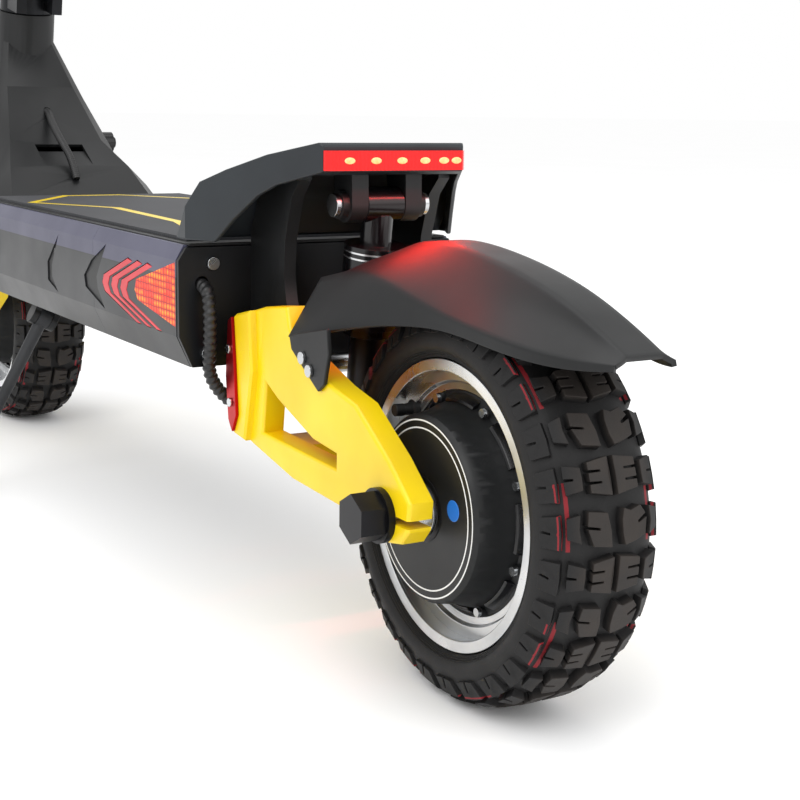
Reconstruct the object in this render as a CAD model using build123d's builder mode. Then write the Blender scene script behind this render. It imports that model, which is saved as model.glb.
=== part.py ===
import math
import os

from build123d import *

os.makedirs("parts", exist_ok=True)

# Electric kick scooter. +X forward, +Y left, +Z up, origin on the ground under the middle. Sizes in mm.

# Driving dimensions
wheel_base = 985.0
tyre_radius = 127.5
tyre_width = 80.0
rim_radius = 87.2
tail_overhang_shift = 3.0
deck_length = 530.0
deck_half_width = 115.0
deck_bottom_z = 183.3
deck_top_z = 269.5
deck_to_rear_axle = 225.0
head_rake = 12.0
head_x = 455.0
head_z = 415.0
bar_height_on_stem = 876.0
bar_half_length = 310.0
bar_radius = 11.1
running_fit = 0.08
seat_gap = 0.05
moving_gap = 0.3

# Places worked out from them
rear_x = tail_overhang_shift - wheel_base / 2
front_x = rear_x + wheel_base
axle_z = tyre_radius
deck_rear_x = rear_x + deck_to_rear_axle
deck_front_x = deck_rear_x + deck_length
head_tilt = math.radians(head_rake)
head_plane = Plane(
    origin=(head_x, 0, head_z),
    x_dir=(math.cos(head_tilt), 0, math.sin(head_tilt)),
    z_dir=(-math.sin(head_tilt), 0, math.cos(head_tilt)),
)
bar_plane = head_plane.offset(bar_height_on_stem)


def side_plane(y):
    """A plane facing the right side, so that extruding from it goes inward from the left."""
    return Plane.XZ.offset(-y)


def from_rear(points):
    """Points given from the rear axle, as places in the side view."""
    return [(rear_x + x, axle_z + z) for x, z in points]


def from_front(points):
    """Points given from the front axle with +x towards the rear, as places in the side view."""
    return [(front_x - x, axle_z + z) for x, z in points]


def slab(points, outer_y, thickness):
    """A flat plate with a side view outline, its outer face at outer_y."""
    with BuildPart() as plate:
        with BuildSketch(side_plane(outer_y)):
            Polygon(*points, align=None)
        extrude(amount=thickness)
    return plate.part


def cross_pin(x, z, radius, outer_y, length):
    """A cylinder along Y from outer_y towards the right."""
    with BuildPart() as pin:
        with BuildSketch(side_plane(outer_y)):
            with Locations((x, z)):
                Circle(radius)
        extrude(amount=length)
    return pin.part


def box_between(low, high):
    """A block between two opposite corners."""
    size = [b - a for a, b in zip(low, high)]
    centre = tuple((a + b) / 2 for a, b in zip(low, high))
    with BuildPart() as block:
        with Locations(centre):
            Box(*size)
    return block.part


def cross_loft(x0, corners0, x1, corners1):
    """A solid with straight sides between two (y, z) outlines across the scooter."""
    with BuildPart() as span:
        for x, corners in ((x0, corners0), (x1, corners1)):
            with BuildSketch(Plane.YZ.offset(x)):
                Polygon(*corners, align=None)
        loft(ruled=True)
    return span.part


def turned(points, centre_x):
    """A solid turned about an axle from a section of (y, radius) points."""
    section_plane = Plane(origin=(centre_x, 0, axle_z), x_dir=(0, 1, 0), z_dir=(1, 0, 0))
    with BuildPart() as ring:
        with BuildSketch(section_plane):
            Polygon(*points, align=None)
        revolve(axis=Axis((centre_x, 0, axle_z), (0, 1, 0)))
    return ring.part


def route_radii(points):
    """The arc at each corner of a route: 0.45 of the shorter run over the tangent of half the turn."""
    radii = []
    for a, b, c in zip(points, points[1:], points[2:]):
        run_in = Vector(*b) - Vector(*a)
        run_out = Vector(*c) - Vector(*b)
        half_turn = math.radians(run_in.get_angle(run_out) / 2)
        radii.append(0.45 * min(run_in.length, run_out.length) / math.tan(half_turn))
    return radii


def tube_along(points, radius, name):
    """A round tube along straight runs joined by tangent arcs."""
    radii = route_radii(points)
    with BuildPart() as tube:
        with BuildLine() as path:
            FilletPolyline(*points, radius=radii)
        start = path.wires()[0]
        with BuildSketch(Plane(origin=start @ 0, z_dir=start % 0)):
            Circle(radius)
        sweep()
    expected = math.pi * radius**2 * start.length
    print(name, "radii", [round(r, 1) for r in radii], "volume ratio", round(tube.part.volume / expected, 4))
    return tube.part


def save(shape, node):
    """Label one finished piece and write its STEP file."""
    shape.label = node
    export_step(shape, f"parts/{node}.step")


# Wheels: tyre, rim with motor shell, hub covers, brake disc

crown_half_width = 16.0
bead_half_width = 19.3
flange_inner_y = 19.5
flange_outer_y = 22.5
barrel_radius = 76.0
motor_bore = 60.0
cover_seat_y = 12.0
cover_left_y = 49.2
cover_right_y = 44.0
cover_face_radius = 56.0
axle_radius = 9.0
bearing_radius = 16.4
disc_radius = 60.0
disc_inner_y = 52.0
disc_thickness = 2.0
disc_carrier_radius = 22.0
hub_screw_circle = 67.5
hub_boss_radius = 3.4
hub_boss_y = 23.0
valve_angle = math.radians(40)
valve_circle = 77.0
valve_radius = 4.2
valve_tip_y = 36.0
hub_screw_count = 8


def make_tyre(centre_x):
    """Carcass open to the rim, with a flat crown and round side walls."""
    half = tyre_width / 2
    crown_edge = (crown_half_width, tyre_radius)
    shoulder = (half - 1, tyre_radius - 16)
    side_low = (half - 4, rim_radius + 8)
    inner_low = (half - 8, rim_radius + 12)
    inner_high = (half - 13, tyre_radius - 11)
    section_plane = Plane(origin=(centre_x, 0, axle_z), x_dir=(0, 1, 0), z_dir=(1, 0, 0))
    with BuildPart() as tyre:
        with BuildSketch(section_plane):
            with BuildLine():
                Line((0, tyre_radius), crown_edge)
                ThreePointArc(crown_edge, (half - 9, tyre_radius - 5), shoulder)
                ThreePointArc(shoulder, (half, tyre_radius - 23), side_low)
                Line(side_low, (bead_half_width, rim_radius + 0.6))
                Line((bead_half_width, rim_radius + 0.6), (bead_half_width, barrel_radius + seat_gap))
                Line((bead_half_width, barrel_radius + seat_gap), (12.4, barrel_radius + seat_gap))
                Line((12.4, barrel_radius + seat_gap), (14, rim_radius + 4))
                Line((14, rim_radius + 4), inner_low)
                ThreePointArc(inner_low, (half - 5.5, rim_radius + 19), inner_high)
                Line(inner_high, (0, tyre_radius - 9))
                Line((0, tyre_radius - 9), (0, tyre_radius))
            make_face()
            mirror(about=Plane.YZ)
        revolve(axis=Axis((centre_x, 0, axle_z), (0, 1, 0)))
    return tyre.part


def make_valve(centre_x):
    """Bent rubber valve stem on the left of the rim."""
    x = centre_x + valve_circle * math.cos(valve_angle)
    z = axle_z + valve_circle * math.sin(valve_angle)
    return cross_pin(x, z, valve_radius, valve_tip_y, valve_tip_y - flange_outer_y - seat_gap)


def make_rim(centre_x):
    """Rim barrel, two flanges and the motor shell as one casting."""
    half = [
        (0, motor_bore),
        (cover_seat_y, motor_bore),
        (cover_seat_y, 71),
        (flange_inner_y, 71),
        (flange_inner_y, 75.5),
        (flange_outer_y, 77),
        (flange_outer_y, rim_radius),
        (flange_inner_y, rim_radius),
        (flange_inner_y, barrel_radius),
        (12, barrel_radius),
        (9, 74),
        (0, 74),
    ]
    return turned(half, centre_x) + turned([(-y, r) for y, r in half], centre_x)


def hub_screw_places(centre_x):
    """Screw positions on the shoulder of a hub cover."""
    angles = [math.radians(360 / hub_screw_count * (step + 0.5)) for step in range(hub_screw_count)]
    return [
        (centre_x + hub_screw_circle * math.cos(angle), axle_z + hub_screw_circle * math.sin(angle))
        for angle in angles
    ]


def make_cover(centre_x, side, face_y):
    """Domed motor cover with a bearing bore, side +1 left or -1 right."""
    wall = 4.0
    section = [
        (face_y - 13, bearing_radius + running_fit),
        (face_y, bearing_radius + running_fit),
        (face_y, cover_face_radius),
        (face_y - 2.5, cover_face_radius + 2.5),
        (face_y - 17, cover_face_radius + 5),
        (cover_seat_y + 9, 65),
        (cover_seat_y + 7, 70.6),
        (cover_seat_y + seat_gap, 70.6),
        (cover_seat_y + seat_gap, 61),
        (face_y - 19, cover_face_radius + 0.5),
        (face_y - wall - 1, cover_face_radius - 2),
        (face_y - wall, bearing_radius + wall),
        (face_y - 13, bearing_radius + wall),
    ]
    with BuildPart() as cover:
        add(turned([(side * y, r) for y, r in section], centre_x))
        for x, z in hub_screw_places(centre_x):
            outer = hub_boss_y if side > 0 else -cover_seat_y - 2
            add(cross_pin(x, z, hub_boss_radius, outer, hub_boss_y - cover_seat_y - 2))
    return cover.part


def make_hub_screws(centre_x):
    """Button screws on the bosses of both covers."""
    head = 2.6
    with BuildPart() as screws:
        for side in (1, -1):
            outer = hub_boss_y + head if side > 0 else -hub_boss_y - seat_gap
            for x, z in hub_screw_places(centre_x):
                add(cross_pin(x, z, 2.8, outer, head - seat_gap))
    return screws.part


def make_disc(centre_x):
    """Vented brake disc on the right, with its carrier."""
    outer_y = -disc_inner_y
    with BuildPart() as disc:
        add(cross_pin(centre_x, axle_z, disc_radius, outer_y, disc_thickness))
        carrier_depth = disc_inner_y - cover_right_y
        add(cross_pin(centre_x, axle_z, disc_carrier_radius, -cover_right_y - seat_gap, carrier_depth))
        with BuildSketch(side_plane(-cover_right_y + 1)):
            with Locations((centre_x, axle_z)):
                Circle(bearing_radius + 1)
                with PolarLocations(38, 6):
                    Circle(10)
                with PolarLocations(53, 18):
                    Circle(2.2)
        extrude(amount=disc_inner_y, mode=Mode.SUBTRACT)
    return disc.part


def make_axle(centre_x):
    """Fixed axle with its bearings and the stator pressed on it."""
    half_length = 95.0
    bearing_spans = ((cover_left_y - 12, cover_left_y + 2.8), (-cover_right_y, -cover_right_y + 12))
    with BuildPart() as axle:
        add(cross_pin(centre_x, axle_z, axle_radius, half_length, 2 * half_length))
        for inner, outer in bearing_spans:
            add(cross_pin(centre_x, axle_z, bearing_radius, outer, outer - inner))
        add(cross_pin(centre_x, axle_z, 50, 14, 28))
        add(cross_pin(centre_x, axle_z, 40, 24, 48))
    return axle.part


for prefix, centre_x in (("rear", rear_x), ("front", front_x)):
    tyre_and_valve = make_tyre(centre_x) + make_valve(centre_x)
    save(tyre_and_valve, f"{prefix}_tyre")
    save(make_rim(centre_x), f"{prefix}_rim")
    with BuildPart() as hub_covers:
        add(make_cover(centre_x, 1, cover_left_y))
        add(make_cover(centre_x, -1, cover_right_y))
    save(hub_covers.part, f"{prefix}_hub_covers")
    save(make_disc(centre_x), f"{prefix}_brake_disc")
save(make_hub_screws(rear_x), "rear_hub_screws")

# Axle nuts

nut_flange_y = 78.5
nut_flange_radius = 17.0
nut_across_flats = 27.0
nut_tip_y = 100.0
nut_bore_y = 95.2


def make_axle_nuts(centre_x):
    """Capped hex nuts over both axle ends."""
    with BuildPart() as nuts:
        for side in (1, -1):
            inner_y = nut_flange_y + seat_gap
            flange_outer = inner_y + 4.5 if side > 0 else -inner_y
            add(cross_pin(centre_x, axle_z, nut_flange_radius, flange_outer, 4.5))
            hex_outer = nut_tip_y if side > 0 else -inner_y
            with BuildSketch(side_plane(hex_outer)):
                with Locations((centre_x, axle_z)):
                    RegularPolygon(nut_across_flats / 2, 6, major_radius=False, rotation=30)
            extrude(amount=nut_tip_y - inner_y)
            bore_outer = nut_bore_y if side > 0 else -inner_y + 1
            bore_depth = nut_bore_y - inner_y + 1
            add(cross_pin(centre_x, axle_z, axle_radius + seat_gap, bore_outer, bore_depth), mode=Mode.SUBTRACT)
    return nuts.part


save(make_axle(rear_x), "rear_axle")
save(make_axle_nuts(rear_x), "rear_axle_nuts")
with BuildPart() as front_axle:
    add(make_axle(front_x))
    add(make_axle_nuts(front_x))
save(front_axle.part, "front_axle")

# Rear swing arm

pivot_dx = 195.0
pivot_dz = 58.0
pivot_bolt_radius = 8.0
arm_inner_y = 62.0
arm_outer_y = 78.5
arm_head_y = 84.0
shock_low_dx = 166.0
shock_low_dz = 22.0
shock_top_dx = 145.0
shock_top_dz = 175.0
shock_bolt_radius = 6.0
open_pivot_gap = 1.0
clevis_inner_y = 11.0
clevis_outer_y = 18.0

arm_outline = [
    (213, 55), (206, 92), (198, 97), (163, 106), (129, 110), (125, 97), (108, 81), (64, 67), (35, 61),
    (-6, 35), (-26, 19), (-32, 14), (-30, -4), (-22, -13), (-7, -16), (52, -8), (120, -5), (179, 6),
    (202, 11), (206, 19),
]
arm_window = [(161, 54), (142, 45), (91, 28), (59, 25), (59, 15), (166, 18)]
arm_head_pad = [(213, 55), (206, 92), (198, 97), (176, 102), (172, 60), (184, 9), (202, 11), (206, 19)]


def dropout_cuts(centre_x, toward):
    """Axle hole and clamp slot open to the free end; toward is -1 when the free end is rearward."""
    slot_far = centre_x + toward * 40
    low_x = min(centre_x, slot_far)
    high_x = max(centre_x, slot_far)
    hole = cross_pin(centre_x, axle_z, axle_radius + seat_gap, nut_flange_y + 10, 2 * nut_flange_y + 20)
    slot = box_between((low_x, -nut_flange_y - 10, axle_z - 2), (high_x, nut_flange_y + 10, axle_z + 3))
    return hole + slot


with BuildPart() as arm_side:
    add(slab(from_rear(arm_outline), arm_outer_y, arm_outer_y - arm_inner_y))
    add(slab(from_rear(arm_window), arm_outer_y + 1, arm_outer_y - arm_inner_y + 2), mode=Mode.SUBTRACT)
    fillet(arm_side.faces().sort_by(Axis.Y)[-1].edges(), 2.5)
    add(slab(from_rear(arm_head_pad), arm_head_y, arm_head_y - arm_inner_y))
    chamfer(arm_side.faces().sort_by(Axis.Y)[-1].edges(), 1.5)

pivot_x = rear_x + pivot_dx
pivot_z = axle_z + pivot_dz
shock_low_x = rear_x + shock_low_dx
shock_low_z = axle_z + shock_low_dz
bridge_top_z = axle_z + 10.0

with BuildPart() as rear_swing_arm:
    add(arm_side.part)
    mirror(about=Plane.XZ)
    bridge_y = arm_inner_y + 2
    add(box_between((rear_x + 148, -bridge_y, axle_z - 2), (rear_x + 186, bridge_y, bridge_top_z)))
    for inner_y in (clevis_inner_y, -clevis_outer_y):
        add(cross_pin(shock_low_x, shock_low_z, 11, inner_y + clevis_outer_y - clevis_inner_y, 7))
        web_high = (shock_low_x + 11, inner_y + 7, shock_low_z)
        add(box_between((shock_low_x - 11, inner_y, bridge_top_z - 1), web_high))
    low_bore = shock_bolt_radius + seat_gap
    bore_y = clevis_outer_y + 1
    add(cross_pin(shock_low_x, shock_low_z, low_bore, bore_y, 2 * bore_y), mode=Mode.SUBTRACT)
    pivot_bore = pivot_bolt_radius + running_fit
    add(cross_pin(pivot_x, pivot_z, pivot_bore, 82.3, 164.6), mode=Mode.SUBTRACT)
    add(dropout_cuts(rear_x, -1), mode=Mode.SUBTRACT)
save(rear_swing_arm.part, "rear_swing_arm")

trim_outline = [(209, 52), (205, 92), (199, 95), (195, 60), (192, 26), (199, 13), (205, 21)]
with BuildPart() as arm_trims:
    add(slab(from_rear(trim_outline), arm_head_y + 2.5, 2.5 - seat_gap))
    mirror(about=Plane.XZ)
save(arm_trims.part, "arm_trims")

trim_screw_places = from_rear([(202, 72), (200, 34)])
fender_plate_y = arm_outer_y + 3.0
fender_screw_places = from_rear([(98, 81), (88, 74)])
with BuildPart() as arm_screws:
    for x, z in trim_screw_places:
        add(cross_pin(x, z, 3.2, arm_head_y + 2.5 + 2, 2 - seat_gap))
    for x, z in fender_screw_places:
        add(cross_pin(x, z, 4.2, fender_plate_y + 2.5, 2.5 - seat_gap))
    mirror(about=Plane.XZ)
    add(cross_pin(shock_low_x, shock_low_z, shock_bolt_radius, clevis_outer_y + 4, 2 * clevis_outer_y + 8))
    for outer_y in (clevis_outer_y + 4, -clevis_outer_y - seat_gap):
        add(cross_pin(shock_low_x, shock_low_z, 9, outer_y, 4 - seat_gap))
save(arm_screws.part, "arm_screws")

# Rear fender: stations along the wheel, each a roof of (y, z) points from the axle

fender_wall = 3.0
fender_stations = [
    (96, [(14, 146), (30, 144), (52, 136), (81.5, 96)]),
    (62, [(14, 161), (32, 152), (52, 138), (62, 106)]),
    (0, [(14, 156), (30, 137), (45, 121), (46, 113)]),
    (-46, [(14, 148), (28, 133), (46, 117), (47, 110)]),
    (-84, [(14, 138), (20, 129), (43, 112), (43, 105)]),
    (-119, [(14, 124), (17, 119), (31, 109), (32, 103)]),
    (-148, [(13, 112), (16, 110), (19, 109), (20, 105)]),
]


def roof_section(points, wall):
    """A closed roof outline from its left half, wall thick, at its real height."""
    left = [(y, axle_z + z) for y, z in points]
    inner = [(y - wall / 2, z - wall) for y, z in left[:-1]]
    lip_y, lip_z = left[-1]
    inner.append((lip_y - wall, lip_z))
    half = left + list(reversed(inner))
    return [(-y, z) for y, z in reversed(left)] + half + [(-y, z) for y, z in inner]


with BuildPart() as rear_fender:
    for (x0, roof0), (x1, roof1) in zip(fender_stations, fender_stations[1:]):
        section0 = roof_section(roof0, fender_wall)
        section1 = roof_section(roof1, fender_wall)
        add(cross_loft(rear_x + x0, section0, rear_x + x1, section1))
    wing_front = [(58, 130), (82, 92), (79, 91), (56, 127)]
    wing_rear = [(52, 136), (81.5, 96), (78.5, 93), (51, 133)]
    for side in (1, -1):
        rear_corners = [(side * y, axle_z + z) for y, z in wing_rear]
        front_corners = [(side * y, axle_z + z) for y, z in wing_front]
        add(cross_loft(rear_x + 96, rear_corners, rear_x + 119, front_corners))
    leg_plate = from_rear([(119, 93), (116, 84), (78, 62), (70, 68), (64, 88), (66, 104), (96, 98)])
    add(slab(leg_plate, fender_plate_y, fender_plate_y - arm_outer_y - seat_gap))
    add(slab(leg_plate, -arm_outer_y - seat_gap, fender_plate_y - arm_outer_y - seat_gap))
save(rear_fender.part, "rear_fender")

# Brake calipers, seated on the inner face of the right arms

caliper_dx = 42.0
caliper_dz = 34.0
caliper_depth = 38.0
caliper_height = 32.0
caliper_low_y = 46.5
pad_gap = 1.2


def make_caliper(centre_x, toward):
    """Block that straddles the disc's rim; toward is +1 when the arm runs forward."""
    middle_x = centre_x + toward * caliper_dx
    middle_z = axle_z + caliper_dz
    low = (middle_x - caliper_depth / 2, -arm_inner_y + seat_gap, middle_z - caliper_height / 2)
    high = (middle_x + caliper_depth / 2, -caliper_low_y, middle_z + caliper_height / 2)
    slot_y = disc_inner_y + disc_thickness + pad_gap
    with BuildPart() as caliper:
        add(box_between(low, high))
        chamfer(caliper.edges().filter_by(Axis.Y), 6)
        slot_length = disc_thickness + 2 * pad_gap
        slot = cross_pin(centre_x, axle_z, disc_radius + 1.5, -slot_y + slot_length, slot_length)
        add(slot, mode=Mode.SUBTRACT)
    return caliper.part


save(make_caliper(rear_x, 1), "rear_brake_caliper")

# Shock absorbers: a can that hangs on the upper bolt and a lower leg that slides in it


def shock_plane(top, bottom, y):
    """Plane at the upper eye, looking down the shock."""
    down = (bottom[0] - top[0], 0, bottom[1] - top[1])
    return Plane(origin=(top[0], y, top[1]), x_dir=(0, 1, 0), z_dir=down)


def shock_can(top, bottom, y, eye_radius, eye_width, bolt_radius, rings, cavity):
    """Upper eye, neck and can. rings and cavity are (start, end, radius) along the shock."""
    plane = shock_plane(top, bottom, y)
    with BuildPart() as can:
        add(cross_pin(top[0], top[1], eye_radius, y + eye_width / 2, eye_width))
        for start, end, radius in rings:
            with BuildSketch(plane.offset(start)):
                Circle(radius)
            extrude(amount=end - start)
        cavity_start, cavity_end, cavity_radius = cavity
        with BuildSketch(plane.offset(cavity_start)):
            Circle(cavity_radius)
        extrude(amount=cavity_end - cavity_start, mode=Mode.SUBTRACT)
        bore = bolt_radius + running_fit
        add(cross_pin(top[0], top[1], bore, y + eye_width, 2 * eye_width), mode=Mode.SUBTRACT)
    return can.part


def shock_leg(top, bottom, y, eye_radius, eye_width, bolt_radius, rings):
    """Sliding lower leg with the open lower eye."""
    plane = shock_plane(top, bottom, y)
    with BuildPart() as leg:
        add(cross_pin(bottom[0], bottom[1], eye_radius, y + eye_width / 2, eye_width))
        for start, end, radius in rings:
            with BuildSketch(plane.offset(start)):
                Circle(radius)
            extrude(amount=end - start)
        bore = bolt_radius + open_pivot_gap
        add(cross_pin(bottom[0], bottom[1], bore, y + eye_width, 2 * eye_width), mode=Mode.SUBTRACT)
    return leg.part


shock_top = from_rear([(shock_top_dx, shock_top_dz)])[0]
shock_low = from_rear([(shock_low_dx, shock_low_dz)])[0]
shock_length = math.dist(shock_top, shock_low)
leg_radius = 12.5
can_radius = 21.5
can_rings = [
    (6, 30, 11), (28, 64, can_radius), (64, 68, can_radius - 3), (68, 86, can_radius - 1), (86, 92, 18),
]
can_bore = (54, 93, leg_radius + running_fit)
leg_rings = [(70, 134, leg_radius), (134, 138, leg_radius - 2.5), (138, shock_length - 6, 7)]
save(shock_can(shock_top, shock_low, 0, 12, 28, shock_bolt_radius, can_rings, can_bore), "rear_shock_body")
save(shock_leg(shock_top, shock_low, 0, 11, 20, shock_bolt_radius, leg_rings), "rear_shock_rod")

# Fork, front arm and front shocks

front_pivot_dx = 150.0
front_pivot_dz = 56.0
front_pivot_radius = 12.0
leg_inner_y = 49.0
leg_outer_y = 60.0
crown_bottom = -80.0
crown_top = -56.5
steerer_radius = 17.5
front_shock_y = 93.0
front_shock_low = from_front([(62, 28)])[0]
front_shock_top = from_front([(33, 193)])[0]
front_bolt_radius = 6.0
front_pivot = from_front([(front_pivot_dx, front_pivot_dz)])[0]
crown_point = head_plane.from_local_coords((0, 0, (crown_bottom + crown_top) / 2))

with BuildPart() as fork_leg:
    with BuildSketch(side_plane(leg_outer_y)):
        with Locations((crown_point.X, crown_point.Z)):
            Circle(24)
        with Locations(front_pivot):
            Circle(20)
        make_hull()
    extrude(amount=leg_outer_y - leg_inner_y)
    with BuildSketch(side_plane(leg_outer_y + 1)):
        with Locations((crown_point.X - 62, crown_point.Z - 78)):
            SlotOverall(90, 18, rotation=52)
    extrude(amount=5, mode=Mode.SUBTRACT)

with BuildPart() as fork:
    add(fork_leg.part)
    mirror(about=Plane.XZ)
    with BuildSketch(head_plane.offset(crown_bottom)):
        Rectangle(46, 2 * leg_inner_y + 2)
        Circle(31)
    extrude(amount=crown_top - crown_bottom)
    with BuildSketch(head_plane.offset(crown_top - 1)):
        Circle(steerer_radius)
    extrude(amount=1 + 52 - crown_top + 42)
    for side in (1, -1):
        outer = front_shock_y + 13 if side > 0 else -leg_outer_y + 1
        add(cross_pin(*front_shock_top, front_bolt_radius, outer, front_shock_y + 13 - leg_outer_y + 1))
        stop = leg_outer_y + 18 if side > 0 else -leg_outer_y + 1
        add(cross_pin(*front_shock_top, 10, stop, 19))
    bore = front_pivot_radius + running_fit
    add(cross_pin(*front_pivot, bore, leg_outer_y + 5, 2 * leg_outer_y + 10), mode=Mode.SUBTRACT)
save(fork.part, "fork")

front_arm_outline = [
    (172, 50), (170, 70), (154, 80), (120, 76), (64, 64), (35, 61), (-6, 35), (-26, 19), (-32, 14),
    (-30, -4), (-22, -13), (-7, -16), (52, -8), (120, 12), (160, 34),
]
front_arm_window = [(124, 56), (92, 50), (82, 36), (84, 16), (120, 30)]
with BuildPart() as front_arm_side:
    add(slab(from_front(front_arm_outline), arm_outer_y, arm_outer_y - arm_inner_y))
    window = slab(from_front(front_arm_window), arm_outer_y + 1, arm_outer_y - arm_inner_y + 2)
    add(window, mode=Mode.SUBTRACT)
    fillet(front_arm_side.faces().sort_by(Axis.Y)[-1].edges(), 2.5)

with BuildPart() as front_swing_arm:
    add(front_arm_side.part)
    mirror(about=Plane.XZ)
    add(cross_pin(*front_pivot, front_pivot_radius, arm_inner_y + 1, 2 * arm_inner_y + 2))
    for side in (1, -1):
        outer = front_shock_y + 13 if side > 0 else -arm_outer_y + 1
        add(cross_pin(*front_shock_low, front_bolt_radius, outer, front_shock_y + 13 - arm_outer_y + 1))
    add(dropout_cuts(front_x, 1), mode=Mode.SUBTRACT)
save(front_swing_arm.part, "front_swing_arm")
save(make_caliper(front_x, -1), "front_brake_caliper")

front_shock_length = math.dist(front_shock_top, front_shock_low)
front_can_rings = [(6, 20, 8), (16, 98, 13.5), (98, 104, 11)]
front_can_bore = (44, 105, 6 + running_fit)
front_leg_rings = [(74, front_shock_length - 20, 6), (front_shock_length - 24, front_shock_length - 6, 8.4)]
with BuildPart() as front_shock_bodies:
    for y in (front_shock_y, -front_shock_y):
        sizes = (12, 18, front_bolt_radius, front_can_rings, front_can_bore)
        add(shock_can(front_shock_top, front_shock_low, y, *sizes))
save(front_shock_bodies.part, "front_shock_bodies")
with BuildPart() as front_shock_rods:
    for y in (front_shock_y, -front_shock_y):
        add(shock_leg(front_shock_top, front_shock_low, y, 12, 18, front_bolt_radius, front_leg_rings))
save(front_shock_rods.part, "front_shock_rods")

front_fender_radius = 176.0
front_fender_half_width = 46.0
front_fender_arc = 112.0
front_fender_start = 34.0
front_fender_section = [
    (0, front_fender_radius), (15, front_fender_radius), (36, front_fender_radius - 9),
    (front_fender_half_width, front_fender_radius - 24),
    (front_fender_half_width - 3, front_fender_radius - 24),
    (33.5, front_fender_radius - 11.5), (14, front_fender_radius - 3), (0, front_fender_radius - 3),
]
start_angle = math.radians(front_fender_start)
fender_plane = Plane(
    origin=(front_x, 0, axle_z), x_dir=(0, 1, 0), z_dir=(math.sin(start_angle), 0, -math.cos(start_angle))
)
with BuildPart() as front_fender:
    with BuildSketch(fender_plane):
        Polygon(*front_fender_section, align=None)
        mirror(about=Plane.YZ)
    revolve(axis=Axis((front_x, 0, axle_z), (0, -1, 0)), revolution_arc=front_fender_arc)
    stay_x = (crown_point.X + front_pivot[0]) / 2
    stay_z = (crown_point.Z + front_pivot[1]) / 2
    for outer in (leg_inner_y - seat_gap, -leg_inner_y + seat_gap + 11):
        add(cross_pin(stay_x, stay_z, 6, outer, 11))
save(front_fender.part, "front_fender")

# Deck: hollow frame, cover, mat, rear end plate, side skins

frame_wall = 4.0
frame_half_width = deck_half_width - 3.0
side_low_z = 206.0
side_high_z = 260.0
end_plate_thickness = 4.0
cover_thickness = 2.0
mat_thickness = 2.5
cover_half_width = 105.8
mat_half_width = 99.0
mat_rear_margin = 22.0
skin_gap = 0.1
corner_length = 176.0
frame_rear_x = deck_rear_x + end_plate_thickness
port_x = deck_front_x - 62
port_z = 234.0
port_radius = 9.0
port_cut = cross_pin(port_x, port_z, port_radius + seat_gap, deck_half_width + 1, 12)
mat_rear_x = deck_rear_x + mat_rear_margin


def deck_section(half_width, inset):
    """Octagon across the deck, taken in by inset."""
    low = half_width - 10 - inset
    side = half_width - inset
    top = half_width - 6 - inset
    return [
        (-low, deck_bottom_z + inset), (low, deck_bottom_z + inset), (side, side_low_z), (side, side_high_z),
        (top, deck_top_z - inset), (-top, deck_top_z - inset), (-side, side_high_z), (-side, side_low_z),
    ]


# Kickstand: its pin leans so that the leg swings from the ground to beside the deck's underside

stand_x = deck_front_x - 120.0
stand_y = 84.0
stand_pin_z = 166.0
stand_pin_radius = 4.0
stand_leg_radius = 6.0
stand_hub_radius = 10.0
stand_hub_width = 12.0
foot_place = Vector(stand_x + 22, stand_y + 84, 0)
stand_pin = Vector(stand_x, stand_y, stand_pin_z)
leg_down = (foot_place - stand_pin).normalized()
leg_folded = Vector(-1, 0.06, 0.0).normalized()
stand_axis = leg_down.cross(leg_folded).normalized()
stand_plane = Plane(origin=stand_pin, x_dir=leg_folded, z_dir=stand_axis)

with BuildPart() as kickstand:
    with BuildSketch(stand_plane.offset(-stand_hub_width / 2)):
        Circle(stand_hub_radius)
        Circle(stand_pin_radius + running_fit, mode=Mode.SUBTRACT)
    extrude(amount=stand_hub_width)
    leg_length = (foot_place - stand_pin).length
    with BuildSketch(Plane(origin=stand_pin + leg_down * 8, z_dir=leg_down)):
        Circle(stand_leg_radius)
    extrude(amount=leg_length - 14, taper=0.6)
    with BuildSketch(Plane.XY):
        with Locations((foot_place.X + 4, foot_place.Y)):
            RectangleRounded(26, 24, 6)
    extrude(amount=7)
    with BuildSketch(stand_plane.offset(-stand_hub_width)):
        Circle(stand_pin_radius + running_fit)
    extrude(amount=2 * stand_hub_width, mode=Mode.SUBTRACT)
save(kickstand.part, "kickstand")

with BuildPart() as stand_bracket:
    with BuildSketch(stand_plane.offset(stand_hub_width / 2 + moving_gap)):
        Circle(stand_hub_radius)
    extrude(amount=6)
    with BuildSketch(stand_plane.offset(-stand_hub_width / 2 - moving_gap)):
        Circle(stand_hub_radius)
    extrude(amount=-6)
    with BuildSketch(stand_plane.offset(-stand_hub_width / 2 - 3)):
        Circle(stand_pin_radius)
    extrude(amount=stand_hub_width + 6)
    for offset in (stand_hub_width / 2 + moving_gap, -stand_hub_width / 2 - moving_gap - 6):
        with BuildSketch(stand_plane.offset(offset)):
            with Locations((0, 14)):
                Rectangle(18, 28)
        extrude(amount=6)
    with BuildSketch(Plane.XY.offset(deck_bottom_z + 2)):
        with Locations((stand_x, stand_y)):
            Rectangle(150, 120)
    extrude(amount=60, mode=Mode.SUBTRACT)

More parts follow.
